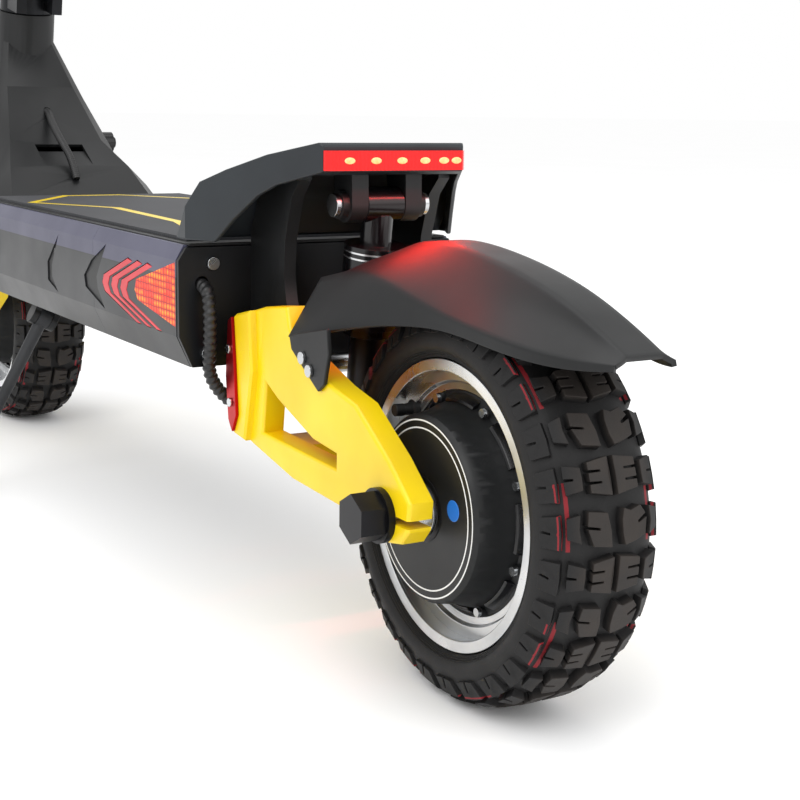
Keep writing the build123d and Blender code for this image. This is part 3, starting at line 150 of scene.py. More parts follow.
def makeFinish(name, look):
    material, tree, shader, place = startMaterial(name)
    mottle = addGrain(tree, shader, place, look)[0]
    share = addNode(tree, "MapRange", {"From Min": 0.35, "From Max": 0.65}, {"Value": mottle})
    colour = mixColours(tree, share.outputs["Result"], look["colour"], look["tone"])
    tree.links.new(colour, shader.inputs["Base Color"])
    for socket in ("Metallic", "IOR", "Specular IOR Level"):
        if socket in look:
            shader.inputs[socket].default_value = look[socket]
    return material


plainLook = {"mottleMm": 60, "grainMm": 0.9, "roughSpread": 0.05, "bump": 0.25, "depthMm": 0.05}

finishes = {
    # powder coat: thick, satin, with a faint orange peel
    "yellowPowderCoat": {"colour": "e9c905", "tone": "dfbd03", "rough": 0.36, "grainMm": 1.6, "depthMm": 0.06,
                         "IOR": 1.5},
    "blackPowderCoat": {"colour": "0f1011", "tone": "151617", "rough": 0.42, "grainMm": 1.4,
                        "Specular IOR Level": 0.35},
    # anodised aluminium: metal under a tinted clear oxide, fine and even
    "blackAnodised": {"colour": "1a1b1d", "tone": "222326", "rough": 0.4, "Metallic": 0.7},
    "redAnodised": {"colour": "b3141c", "tone": "8f0d16", "rough": 0.34, "Metallic": 0.9},
    # machined aluminium: bright, with the tool's fine marks
    "machinedAluminium": {"colour": "d9dadb", "tone": "b7b9bb", "rough": 0.28, "Metallic": 1.0,
                          "grainMm": 0.5},
    # sand-cast aluminium: grey, with a coarse skin
    "castAluminium": {"colour": "3a3b3d", "tone": "2b2c2e", "rough": 0.55, "Metallic": 0.6, "grainMm": 1.2,
                      "depthMm": 0.12},
    # zinc-plated steel, cool and bright; black oxide, an even dark film; the disc's plain ground steel
    "zincSteel": {"colour": "c9cbcc", "tone": "a3a5a8", "rough": 0.25, "Metallic": 1.0},
    "blackOxideSteel": {"colour": "141416", "tone": "222225", "rough": 0.33, "Metallic": 0.7},
    "discSteel": {"colour": "8f9193", "tone": "77797b", "rough": 0.32, "Metallic": 1.0, "grainMm": 0.5},
    # moulded ABS: spark-eroded texture, broad soft gloss
    "slateAbs": {"colour": "22272b", "tone": "1c2024", "rough": 0.44, "grainMm": 0.8, "depthMm": 0.08,
                 "Specular IOR Level": 0.4},
    "blackAbs": {"colour": "131415", "tone": "0e0f10", "rough": 0.46, "grainMm": 0.8, "depthMm": 0.1,
                 "Specular IOR Level": 0.35},
    "glossBlackAbs": {"colour": "08080a", "tone": "0e0e10", "rough": 0.22, "Specular IOR Level": 0.4},
    # thermoplastic paint lines and inlays
    "whitePaint": {"colour": "e8e8e6", "tone": "d5d5d2", "rough": 0.45},
    "redInlay": {"colour": "d3182a", "tone": "b51020", "rough": 0.35, "IOR": 1.5},
    # printed vinyl sticker
    "blueVinyl": {"colour": "1f6fc4", "tone": "1b5fae", "rough": 0.4, "IOR": 1.5},
    # chrome-plated steel: a shock rod picks up everything around it
    "hardChrome": {"colour": "c8c2ba", "tone": "b4aca2", "rough": 0.16, "Metallic": 1.0},
    # soft moulded rubber, a woven nylon sleeve, the heat-shrink film round a battery
    "softRubber": {"colour": "0f0f0f", "tone": "171615", "rough": 0.62, "grainMm": 1.0, "depthMm": 0.12},
    "nylonSleeve": {"colour": "0d0d0e", "tone": "161617", "rough": 0.42},
    "batteryWrap": {"colour": "20406e", "tone": "1b3560", "rough": 0.4},
}
materials = {name: makeFinish(name, {**plainLook, **look}) for name, look in finishes.items()}
print("finishes", len(materials))


treadLook = {
    "dashes": 9.0, "dashLevel": 0.1, "lineRadiusMm": 118.2, "lineHalfMm": 0.5,
    "wornFromMm": 123.0, "wornToMm": 127.5, "wornShare": 0.45,
}


def makeTyreRubber(name, centreX):
    # filled rubber: near black, matt, brownish where the knobs' edges are scuffed; a broken red line by the
    # shoulder
    material, tree, shader, place = startMaterial(name)
    look = {**plainLook, "rough": 0.6, "grainMm": 1.4, "depthMm": 0.18, "bump": 0.4, "mottleMm": 18}
    mottle, grain = addGrain(tree, shader, place, look)
    fromAxle = addNode(
        tree, "Mapping", {"Location": (-centreX, 0, -wheels["axleZ"])}, {"Vector": place}
    ).outputs["Vector"]
    axes = addNode(tree, "SeparateXYZ", {}, {"Vector": fromAxle})
    flat = addNode(tree, "CombineXYZ", {}, {"X": axes.outputs["X"], "Y": axes.outputs["Z"]})
    radius = addNode(tree, "VectorMath", {"operation": "LENGTH"}, {"Vector": flat.outputs["Vector"]})
    turn = addNode(tree, "Math", {"operation": "ARCTAN2"}, {0: axes.outputs["Z"], 1: axes.outputs["X"]})
    dash = addNode(tree, "Math", {"operation": "MULTIPLY", 1: treadLook["dashes"]}, {0: turn.outputs[0]})
    dash = addNode(tree, "Math", {"operation": "SINE"}, {0: dash.outputs[0]})
    dash = addNode(
        tree, "Math", {"operation": "GREATER_THAN", 1: treadLook["dashLevel"]}, {0: dash.outputs[0]}
    )
    line = addNode(
        tree, "Math",
        {"operation": "COMPARE", 1: treadLook["lineRadiusMm"] * mm, 2: treadLook["lineHalfMm"] * mm},
        {0: radius.outputs["Value"]},
    )
    redShare = addNode(tree, "Math", {"operation": "MULTIPLY"}, {0: line.outputs[0], 1: dash.outputs[0]})
    worn = addNode(
        tree, "MapRange",
        {
            "From Min": treadLook["wornFromMm"] * mm, "From Max": treadLook["wornToMm"] * mm,
            "To Max": treadLook["wornShare"],
        },
        {"Value": radius.outputs["Value"]},
    )
    wornShare = addNode(tree, "Math", {"operation": "MULTIPLY"}, {0: worn.outputs["Result"], 1: mottle})
    rubber = mixColours(tree, grain, "111112", "1a1919")
    scuffed = mixColours(tree, wornShare.outputs[0], rubber, "4f453d")
    tree.links.new(mixColours(tree, redShare.outputs[0], scuffed, "7d1a22"), shader.inputs["Base Color"])
    shader.inputs["Specular IOR Level"].default_value = 0.3
    return material


skinSeam = {"lowMm": 247.2, "heightMm": 247.5, "highMm": 247.8, "halfMm": 0.5}


def makeSkinPaint(name):
    # satin two-tone paint on the deck's side skins: violet grey above the seam, dark slate below
    material, tree, shader, place = startMaterial(name)
    mottle = addGrain(tree, shader, place, {**plainLook, "rough": 0.4, "grainMm": 0.8})[0]
    axes = addNode(tree, "SeparateXYZ", {}, {"Vector": place})
    above = addNode(
        tree, "MapRange", {"From Min": skinSeam["lowMm"] * mm, "From Max": skinSeam["highMm"] * mm},
        {"Value": axes.outputs["Z"]},
    )
    seam = addNode(
        tree, "Math", {"operation": "COMPARE", 1: skinSeam["heightMm"] * mm, 2: skinSeam["halfMm"] * mm},
        {0: axes.outputs["Z"]},
    )
    lower = mixColours(tree, mottle, "141619", "1b1d20")
    upper = mixColours(tree, mottle, "45455c", "3a3a4e")
    both = mixColours(tree, above.outputs["Result"], lower, upper)
    tree.links.new(mixColours(tree, seam.outputs[0], both, "0c0c0d"), shader.inputs["Base Color"])
    return material


matLook = {"studMm": 4, "studHeightMm": 0.4, "dustMm": 70}


def makeMatRubber(name):
    # moulded mat: small raised studs 4 mm apart, dusty on top
    material, tree, shader, place = startMaterial(name)
    studs = addNode(
        tree, "TexVoronoi", {"Scale": 1 / (matLook["studMm"] * mm), "Randomness": 0.15, "feature": "F1"},
        {"Vector": place},
    )
    dust = addNode(
        tree, "TexNoise", {"Scale": 1 / (matLook["dustMm"] * mm), "Detail": 5.0}, {"Vector": place}
    )
    height = addNode(
        tree, "MapRange", {"From Min": 0.2, "From Max": 0.45, "To Min": 1.0, "To Max": 0.0},
        {"Value": studs.outputs["Distance"]},
    )
    bump = addNode(
        tree, "Bump", {"Strength": 0.5, "Distance": matLook["studHeightMm"] * mm},
        {"Height": height.outputs["Result"]},
    )
    tree.links.new(bump.outputs["Normal"], shader.inputs["Normal"])
    tree.links.new(mixColours(tree, dust.outputs["Fac"], "26272a", "3a3b3f"), shader.inputs["Base Color"])
    shader.inputs["Roughness"].default_value = 0.68
    return material


prismLook = {"cellMm": 5, "patchMm": 16, "reliefMm": 0.5, "paintedGlow": 0.45}


def makeReflector(name):
    # moulded prism reflector: small cells, amber with redder patches; each cell carries a painted highlight
    # at its centre and painted shade at its rim, and the whole face has a painted glow
    material, tree, shader, place = startMaterial(name)
    cellScale = 1 / (prismLook["cellMm"] * mm)
    cells = addNode(tree, "TexVoronoi", {"Scale": cellScale, "Randomness": 0.1}, {"Vector": place})
    edges = addNode(
        tree, "TexVoronoi", {"Scale": cellScale, "Randomness": 0.1, "feature": "DISTANCE_TO_EDGE"},
        {"Vector": place},
    )
    patches = addNode(tree, "TexNoise", {"Scale": 1 / (prismLook["patchMm"] * mm)}, {"Vector": place})
    ahead = addNode(tree, "MapRange", {"From Min": 0.45, "From Max": 0.6}, {"Value": patches.outputs["Fac"]})
    # painted highlight: each cell is brightest at its centre and deeper red towards its edge
    lit = addNode(tree, "MapRange", {"From Min": 0.0, "From Max": 0.5}, {"Value": cells.outputs["Distance"]})
    hue = mixColours(tree, ahead.outputs["Result"], "ff9a10", "e8380c")
    cell = mixColours(tree, lit.outputs["Result"], hue, "b81c08")
    # painted shade along the rims between cells
    rim = addNode(
        tree, "MapRange", {"From Min": 0.03, "From Max": 0.08}, {"Value": edges.outputs["Distance"]}
    )
    shown = mixColours(tree, rim.outputs["Result"], "8a0f0c", cell)
    tree.links.new(shown, shader.inputs["Base Color"])
    # painted glow: the reflector shines with its own colour though it is no lamp
    tree.links.new(shown, shader.inputs["Emission Color"])
    shader.inputs["Emission Strength"].default_value = prismLook["paintedGlow"]
    bump = addNode(
        tree, "Bump", {"Strength": 0.6, "Distance": prismLook["reliefMm"] * mm},
        {"Height": cells.outputs["Distance"]},
    )
    tree.links.new(bump.outputs["Normal"], shader.inputs["Normal"])
    shader.inputs["Roughness"].default_value = 0.35
    shader.inputs["Specular IOR Level"].default_value = 0.25
    return material


# waveScale turns a distance between bands into the wave texture's own scale
lensLook = {"fluteMm": 3, "waveScale": 0.314, "reliefMm": 0.3}


def makeLens(name, colour, glow):
    # clear dyed acrylic with vertical flutes, lit from behind; each flute is painted darker across part of
    # its width as painted shade
    material, tree, shader, place = startMaterial(name)
    flutes = addNode(
        tree, "TexWave",
        {
            "Scale": lensLook["waveScale"] / (lensLook["fluteMm"] * mm), "bands_direction": "Y",
            "Distortion": 0.0,
        },
        {"Vector": place},
    )
    # painted shade: the second colour darkens part of each flute
    tone = mixColours(tree, flutes.outputs["Fac"], colour, "a00608" if glow else "cfd6da")
    tree.links.new(tone, shader.inputs["Base Color"])
    bump = addNode(
        tree, "Bump", {"Strength": 0.3, "Distance": lensLook["reliefMm"] * mm},
        {"Height": flutes.outputs["Fac"]},
    )
    tree.links.new(bump.outputs["Normal"], shader.inputs["Normal"])
    shader.inputs["Roughness"].default_value = 0.14
    shader.inputs["IOR"].default_value = 1.49
    if glow:
        shader.inputs["Emission Color"].default_value = toLinear("e8120e")
        shader.inputs["Emission Strength"].default_value = glow
    else:
        shader.inputs["Transmission Weight"].default_value = 0.5
    return material


chipLook = {"speckleMm": 2}


def makeGlow(name, colour, strength):
    # light-emitting chips under a diffusing cap
    material, tree, shader, place = startMaterial(name)
    speckle = addNode(tree, "TexNoise", {"Scale": 1 / (chipLook["speckleMm"] * mm)}, {"Vector": place})
    tree.links.new(mixColours(tree, speckle.outputs["Fac"], colour, "ffd0a8"), shader.inputs["Base Color"])
    shader.inputs["Emission Color"].default_value = toLinear(colour)
    shader.inputs["Emission Strength"].default_value = strength
    return material


gripLook = {"diamondMm": 5, "reliefMm": 0.5, "turn": (0.785, 0.785, 0)}


def makeGripRubber(name):
    # soft rubber grip, moulded with a pattern of diamonds, painted darker in their hollows and lighter on
    # their raised edges as painted shade and painted highlight
    material, tree, shader, place = startMaterial(name)
    turned = addNode(tree, "Mapping", {"Rotation": gripLook["turn"]}, {"Vector": place})
    diamonds = addNode(
        tree, "TexVoronoi", {"Scale": 1 / (gripLook["diamondMm"] * mm), "Randomness": 0.0},
        {"Vector": turned.outputs["Vector"]},
    )
    bump = addNode(
        tree, "Bump", {"Strength": 0.6, "Distance": gripLook["reliefMm"] * mm},
        {"Height": diamonds.outputs["Distance"]},
    )
    tree.links.new(bump.outputs["Normal"], shader.inputs["Normal"])
    # painted shade in each diamond's hollow, painted highlight on its raised edge
    tone = mixColours(tree, diamonds.outputs["Distance"], "161617", "242426")
    tree.links.new(tone, shader.inputs["Base Color"])
    shader.inputs["Roughness"].default_value = 0.66
    return material


materials["rearTyreRubber"] = makeTyreRubber("rearTyreRubber", wheels["rearX"])
materials["frontTyreRubber"] = makeTyreRubber("frontTyreRubber", wheels["frontX"])
materials["skinPaint"] = makeSkinPaint("skinPaint")
materials["matRubber"] = makeMatRubber("matRubber")
materials["prismReflector"] = makeReflector("prismReflector")
materials["redAcrylic"] = makeLens("redAcrylic", "c8060c", 0.75)
materials["clearAcrylic"] = makeLens("clearAcrylic", "eef2f4", 0)
materials["litChip"] = makeGlow("litChip", "ff7a38", 1.6)
materials["gripRubber"] = makeGripRubber("gripRubber")


# Making and placing pieces

mergeMm = 0.002
flatDeg = 0.6


def addPiece(name, bm, body, finish, replaced=(), bevelMm=0.0, sharpDeg=35, normals=True):
    if normals:
        bmesh.ops.remove_doubles(bm, verts=bm.verts, dist=mergeMm * mm)
        bmesh.ops.recalc_face_normals(bm, faces=bm.faces)
    mesh = bpy.data.meshes.new(name)
    bm.to_mesh(mesh)
    bm.free()
    mesh.materials.append(materials[finish])
    mesh.shade_smooth()
    mesh.set_sharp_from_angle(angle=math.radians(sharpDeg))
    piece = bpy.data.objects.new(name, mesh)
    bpy.context.collection.objects.link(piece)
    if bevelMm:
        bevel = piece.modifiers.new("edges", "BEVEL")
        bevel.width = bevelMm * mm
        bevel.segments = 2
        bevel.limit_method = "ANGLE"
        bevel.angle_limit = math.radians(sharpDeg)
        bevel.harden_normals = True
    if replaced:
        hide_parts(*replaced)
    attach(piece, body)
    return piece


def softenNode(node, body, finish, bevelMm):
    # the part's own solid with its edges broken as a real one's are
    bm = bmesh.new()
    bm.from_mesh(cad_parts[node].data)
    bmesh.ops.remove_doubles(bm, verts=bm.verts, dist=mergeMm * mm)
    bmesh.ops.dissolve_limit(bm, angle_limit=math.radians(flatDeg), verts=bm.verts, edges=bm.edges)
    addPiece(node + "_shown", bm, body, finish, (node,), bevelMm, normals=False)


# node: finish and edge radius in mm, by the body it rides on
shownNodes = {
    "deck": {
        "deck_frame": ("blackPowderCoat", 0.6), "deck_cover": ("blackPowderCoat", 0.4),
        "rear_end_plate": ("blackAnodised", 0.6),
        "tail_bracket": ("blackPowderCoat", 0.8), "tail_cover": ("slateAbs", 1.2),
        "frame_bolts": ("zincSteel", 0.4), "neck": ("blackPowderCoat", 1.5),
        "charge_port": ("blackAbs", 0.3), "head_bearings": ("zincSteel", 0.3),
    },
    "rear_arm": {
        "rear_swing_arm": ("yellowPowderCoat", 1.2), "arm_trims": ("redAnodised", 0.4),
        "arm_screws": ("zincSteel", 0.5),
        "rear_axle_nuts": ("blackOxideSteel", 0.8), "rear_brake_caliper": ("blackAnodised", 1.0),
        "rear_axle": ("machinedAluminium", 0.4),
    },
    "rear_wheel": {"rear_rim": ("machinedAluminium", 0.4), "rear_hub_covers": ("blackAbs", 0.6)},
    "rear_shock_upper": {"rear_shock_body": ("glossBlackAbs", 1.2)},
    "rear_shock_lower": {"rear_shock_rod": ("blackOxideSteel", 0.8)},
    "steering": {
        "fork": ("blackPowderCoat", 1.5), "front_fender": ("blackAbs", 0.8),
        "headlight": ("clearAcrylic", 1.0), "stem_base": ("blackAnodised", 0.8),
    },
    "front_arm": {
        "front_swing_arm": ("yellowPowderCoat", 1.2), "front_axle": ("blackOxideSteel", 0.6),
        "front_brake_caliper": ("blackAnodised", 1.0),
    },
    "front_wheel": {
        "front_rim": ("machinedAluminium", 0.4), "front_hub_covers": ("blackAbs", 0.6),
    },
    "front_shock_upper": {"front_shock_bodies": ("glossBlackAbs", 0.8)},
    "front_shock_lower": {"front_shock_rods": ("hardChrome", 0.5)},
    "stem": {
        "stem_tube": ("blackPowderCoat", 1.0), "handlebar": ("blackAnodised", 0.6),
        "grips": ("gripRubber", 1.5), "display": ("glossBlackAbs", 1.5),
    },
    "fold_latch": {"fold_lever": ("redAnodised", 1.0)},
    "brake_left": {"brake_lever_left": ("blackAnodised", 1.5)},
    "brake_right": {"brake_lever_right": ("blackAnodised", 1.5)},
    "thumb_throttle": {"throttle_lever": ("blackAbs", 1.0)},
    "kickstand_leg": {"kickstand": ("castAluminium", 0.8)},
    "charge_door": {"charge_cap": ("softRubber", 0.6)},
}
# nodes whose own mesh is shown, with its finish
plainNodes = {
    "deck_mat": "matRubber", "corner_covers": "skinPaint", "side_panels": "skinPaint",
    "mat_stripes": "yellowPowderCoat", "side_reflectors": "prismReflector", "tail_lens": "redAcrylic",
    "tail_led_board": "litChip", "battery_pack": "batteryWrap", "motor_controllers": "castAluminium",
    "rear_hub_screws": "zincSteel", "rear_brake_disc": "discSteel", "front_brake_disc": "discSteel",
    "horn_button": "redInlay", "light_button": "whitePaint",
}
for body, nodes in shownNodes.items():
    for node, (finish, bevelMm) in nodes.items():
        softenNode(node, body, finish, bevelMm)
for node, finish in plainNodes.items():
    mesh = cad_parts[node].data
    mesh.materials.clear()
    mesh.materials.append(materials[finish])
print("carried-over nodes", len(plainNodes))


def ringPoints(bm, points, centre):
    # a closed section in the plane through the axle, from (across, radius) pairs in mm
    made = [bm.verts.new((centre[0], across * mm, centre[2] + radius * mm)) for across, radius in points]
    return made + [bm.edges.new(pair) for pair in zip(made, made[1:] + made[:1])]


def spinRing(bm, points, centre, steps=96, startDeg=0.0, arcDeg=360.0):
    section = ringPoints(bm, points, centre)
    spinAxis = (0, 1, 0)
    if startDeg:
        bmesh.ops.rotate(
            bm, verts=[item for item in section if isinstance(item, bmesh.types.BMVert)], cent=centre,
            matrix=Matrix.Rotation(math.radians(startDeg), 3, "Y"),
        )
    whole = arcDeg == 360.0
    if not whole:
        edges = [item for item in section if isinstance(item, bmesh.types.BMEdge)]
        section = section + [bm.faces.new([v for v in section if isinstance(v, bmesh.types.BMVert)])]
        section = [item for item in section if item not in edges] + edges
    bmesh.ops.spin(
        bm, geom=section, axis=spinAxis, cent=centre, steps=steps, angle=math.radians(arcDeg), use_merge=whole
    )


# Tyres

tyre = {
    "repeats": 14,
    "crownRadius": 127.5,
    # outer line of the knobs' tops, (across, radius)
    "knobLine": [
        (0, 127.5), (16, 127.4), (22, 126.2), (27, 124.6), (31, 122.4), (34.5, 119.2), (37, 115.6),
        (39, 111.4), (39.8, 108), (39.9, 104.5), (39.4, 101),
    ],
    # carcass, (across, radius), from the crown round the bead and back inside
    "carcass": [
        (0, 121.8), (16, 121.4), (24, 120), (29.5, 117.6), (33.6, 114.2), (36.6, 109.8), (38.2, 106),
        (39.1, 102.5), (39.2, 99.5), (38.2, 97.2), (37.0, 96.0), (37.3, 95.4), (36.2, 94.8), (36.5, 94.2),
        (35.2, 93.5), (35.4, 93.0), (33.6, 92.2), (28, 90.3), (21, 88.7), (19.3, 87.5), (19.3, 76.1),
        (12.6, 76.1), (12.6, 80), (13.6, 88), (20, 94), (28, 99), (32, 105), (29, 112), (24, 115.6),
        (16, 117), (0, 117.4),
    ],
    "centreSink": 6.5,
    "sideSink": 4.0,
    # how far a knob's top draws in, over the length and width that it draws in by
    "draft": 0.9,
    "draftOver": (12, 10),
    "knobBevelMm": 0.45,
    "valveAngleDeg": 40.0,
    "valveCircle": 77.0,
    # the valve from its root to its cap, (across, radius)
    "valveProfile": [
        (19, 0), (19, 6.5), (22.6, 6), (23.6, 4.2), (29, 3.6), (29.4, 4.1), (35.4, 4.1), (36, 3.4), (36, 0),
    ],
}
# one pitch of the tread, (along, across) in mm; a narrow slot in an outline is a sipe
centreBlocks = [
    [(3, 1.1), (15, 1.1), (27, 1.1), (24.5, 17), (19.6, 17), (19.2, 8), (18, 8), (18, 17), (12.6, 17),
     (12.2, 8), (11, 8), (11, 17), (6, 17)],
    [(31, 3), (41, 3.6), (52.5, 6), (54.5, 20), (45.6, 21), (43.8, 12), (42.5, 12.2), (44, 21), (33, 17)],
    [(8, 20.5), (15, 20.2), (22, 20.5), (25, 32), (16.4, 32.4), (15.8, 26), (14.6, 26), (14.6, 32.4),
     (6, 32)],
    [(35, 23.5), (44, 25), (53, 24), (51, 33), (38, 33)],
]
rightBlocks = [
    centreBlocks[0],
    [(31, 5), (38, 3), (47, 2.6), (54, 4.4), (52, 9), (54.5, 17), (49, 21.5), (45, 14.5), (43.6, 15),
     (46.5, 22.5), (36, 21), (33, 13)],
    centreBlocks[2],
    centreBlocks[3],
]
sideBlock = [(2.4, 35.4), (13, 35), (24.6, 35.4), (24.2, 49.5), (15.2, 50.4), (13.8, 42), (12.4, 42.2),
             (13.4, 50.4), (2.8, 49.5)]


def alongLine(line, distance, sink):
    # the point at a distance along a (across, radius) line, sunk below it
    left = distance
    for (a, b), (c, d) in zip(line, line[1:]):
        span = math.hypot(c - a, d - b)
        if left <= span:
            break
        left -= span
    share = left / span
    outward = ((b - d) / span, (c - a) / span)
    return a + (c - a) * share - outward[0] * sink, b + (d - b) * share - outward[1] * sink


def addBlock(bm, outline, side, sink, centreX, shift=0.0):
    base = bm.faces.new([bm.verts.new((along + shift, across, -sink)) for along, across in outline])
    made = bmesh.ops.extrude_face_region(bm, geom=[base])
    top = [item for item in made["geom"] if isinstance(item, bmesh.types.BMVert)]
    bmesh.ops.translate(bm, verts=top, vec=(0, 0, sink))
    middle = sum((v.co for v in top), Vector()) / len(top)
    along, across = tyre["draftOver"]
    bmesh.ops.scale(
        bm, verts=top, vec=(1 - tyre["draft"] / along, 1 - tyre["draft"] / across, 1),
        space=Matrix.Translation(-middle),
    )
    for vert in list(base.verts) + top:
        across, radius = alongLine(tyre["knobLine"], vert.co.y, -vert.co.z)
        turn = vert.co.x / tyre["crownRadius"]
        vert.co = (
            centreX + radius * mm * math.sin(turn), side * across * mm,
            wheels["axleZ"] + radius * mm * math.cos(turn),
        )


def makeTyre(name, centreX, body, finish, node):
    centre = (centreX, 0, wheels["axleZ"])
    knobs = bmesh.new()
    pitch = 2 * math.pi * tyre["crownRadius"] / tyre["repeats"]
    for side, blocks in ((1, centreBlocks), (-1, rightBlocks)):
        for outline in blocks:
            addBlock(knobs, outline, side, tyre["centreSink"], centreX)
        for half in (0, pitch / 2):
            addBlock(knobs, sideBlock, side, tyre["sideSink"], centreX, half)
    first = list(knobs.verts) + list(knobs.edges) + list(knobs.faces)
    for step in range(1, tyre["repeats"]):
        copied = bmesh.ops.duplicate(knobs, geom=first)["geom"]
        bmesh.ops.rotate(
            knobs, verts=[item for item in copied if isinstance(item, bmesh.types.BMVert)], cent=centre,
            matrix=Matrix.Rotation(2 * math.pi * step / tyre["repeats"], 3, "Y"),
        )
    addPiece(name + "_knobs", knobs, body, finish, (), tyre["knobBevelMm"], 40)
    carcass = bmesh.new()
    half = tyre["carcass"]
    spinRing(carcass, half + [(-across, radius) for across, radius in reversed(half[1:-1])], centre, 128)
    addPiece(name + "_carcass", carcass, body, finish, (node,), 0.0, 50)
    valve = bmesh.new()
    angle = math.radians(tyre["valveAngleDeg"])
    valveX = centreX + tyre["valveCircle"] * mm * math.cos(angle)
    valveZ = wheels["axleZ"] + tyre["valveCircle"] * mm * math.sin(angle)
    section = [
        valve.verts.new((valveX, across * mm, valveZ + radius * mm))
        for across, radius in tyre["valveProfile"]
    ]
    lines = [valve.edges.new(pair) for pair in zip(section, section[1:])]
    bmesh.ops.spin(
        valve, geom=section + lines, axis=(0, 1, 0), cent=(valveX, 0, valveZ), steps=24, angle=2 * math.pi,
        use_merge=True,
    )
    addPiece(name + "_valve", valve, body, "softRubber", (), 0.0, 40)


makeTyre("rear_tyre", wheels["rearX"], "rear_wheel", "rearTyreRubber", "rear_tyre")
makeTyre("front_tyre", wheels["frontX"], "front_wheel", "frontTyreRubber", "front_tyre")
print("tyres")


# Hubs: two fine white circles and raised ribs on the shoulder, a polished lip under the bead, a plain sticker

hub = {
    "faceLeft": 49.2, "faceRight": 44.0,
    # the circles' radii, half width, depth in the face and height above it
    "lineRadii": (50.2, 55.0), "lineHalf": 0.45, "lineSink": 0.3, "lineStand": 0.15,
    "ribCount": 8, "ribArcDeg": 27.0, "ribShiftDeg": 45.0,
    # sections as (across, radius); the boss's are measured from the hub's face
    "ribSection": [(17, 63.5), (25.5, 64.0), (24.8, 66.0), (19, 69.5)],
    "bossSection": [(-0.5, 16.9), (0.9, 16.9), (0.9, 19.2), (0.4, 20.4), (-0.5, 20.4)],
    # section of the rim's lip, (across, radius)
    "lip": [
        (22.4, 84.6), (22.4, 86.9), (28, 89.6), (33.0, 91.4), (33.8, 91.0), (33.8, 84.4), (33.2, 83.8),
        (31.6, 83.8), (31.0, 84.6),
    ],
}


def makeHubTrim(name, centreX, body):
    centre = (centreX, 0, wheels["axleZ"])
    lines = bmesh.new()
    ribs = bmesh.new()
    boss = bmesh.new()
    lip = bmesh.new()
    for side, face in ((1, hub["faceLeft"]), (-1, hub["faceRight"])):
        spinRing(lip, [(side * across, radius) for across, radius in hub["lip"]], centre, 128)
        for radius in hub["lineRadii"]:
            low, high = side * (face - hub["lineSink"]), side * (face + hub["lineStand"])
            inner, outer = radius - hub["lineHalf"], radius + hub["lineHalf"]
            spinRing(lines, [(low, inner), (high, inner), (high, outer), (low, outer)], centre, 128)
        spinRing(boss, [(side * (face + out), radius) for out, radius in hub["bossSection"]], centre, 64)
        for step in range(hub["ribCount"]):
            start = step * 360 / hub["ribCount"] - hub["ribArcDeg"] / 2
            spinRing(
                ribs, [(side * across, radius) for across, radius in hub["ribSection"]], centre, 10,
                start + hub["ribShiftDeg"], hub["ribArcDeg"],
            )
    addPiece(name + "_hub_lines", lines, body, "whitePaint")
    addPiece(name + "_hub_ribs", ribs, body, "glossBlackAbs", (), 0.5)
    addPiece(name + "_hub_boss", boss, body, "blackOxideSteel", (), 0.2)
    addPiece(name + "_rim_lip", lip, body, "machinedAluminium", (), 0.25)


makeHubTrim("rear", wheels["rearX"], "rear_wheel")
makeHubTrim("front", wheels["frontX"], "front_wheel")


# a thin round sticker on the left face, its rim drawn in a little
stickerDisc = {"behindMm": 33.7, "aboveMm": 6.9, "radiusMm": 6.5, "thickMm": 0.3, "drawnIn": 0.94}
stickerCentre = (
    wheels["rearX"] - stickerDisc["behindMm"] * mm, (hub["faceLeft"] + stickerDisc["thickMm"] / 2) * mm,
    wheels["axleZ"] + stickerDisc["aboveMm"] * mm,
)
sticker = bmesh.new()
bmesh.ops.create_cone(
    sticker, cap_ends=True, segments=32, radius1=stickerDisc["radiusMm"] * mm,
    radius2=stickerDisc["radiusMm"] * stickerDisc["drawnIn"] * mm, depth=stickerDisc["thickMm"] * mm,
    matrix=Matrix.Translation(stickerCentre) @ Matrix.Rotation(-math.pi / 2, 4, "X"),
)
addPiece("hub_sticker", sticker, "rear_wheel", "blueVinyl")
print("hubs")


# Deck trim: red arrows let into the rear corner covers, and dark sheets sunk in the recesses as painted shade


def rearPoint(dx, dz):
    return wheels["rearX"] + dx * mm, wheels["axleZ"] + dz * mm


def addPlate(bm, outline, side, outerMm, thickMm):
    # a plate from a side-view outline in mm from the rear axle, its outer face at outerMm
    corners = []
    for dx, dz in outline:
        x, z = rearPoint(dx, dz)
        corners.append(bm.verts.new((x, side * outerMm * mm, z)))
    face = bm.faces.new(corners)
    made = bmesh.ops.extrude_face_region(bm, geom=[face])
    bmesh.ops.translate(
        bm, verts=[item for item in made["geom"] if isinstance(item, bmesh.types.BMVert)],
        vec=(0, -side * thickMm * mm, 0),
    )


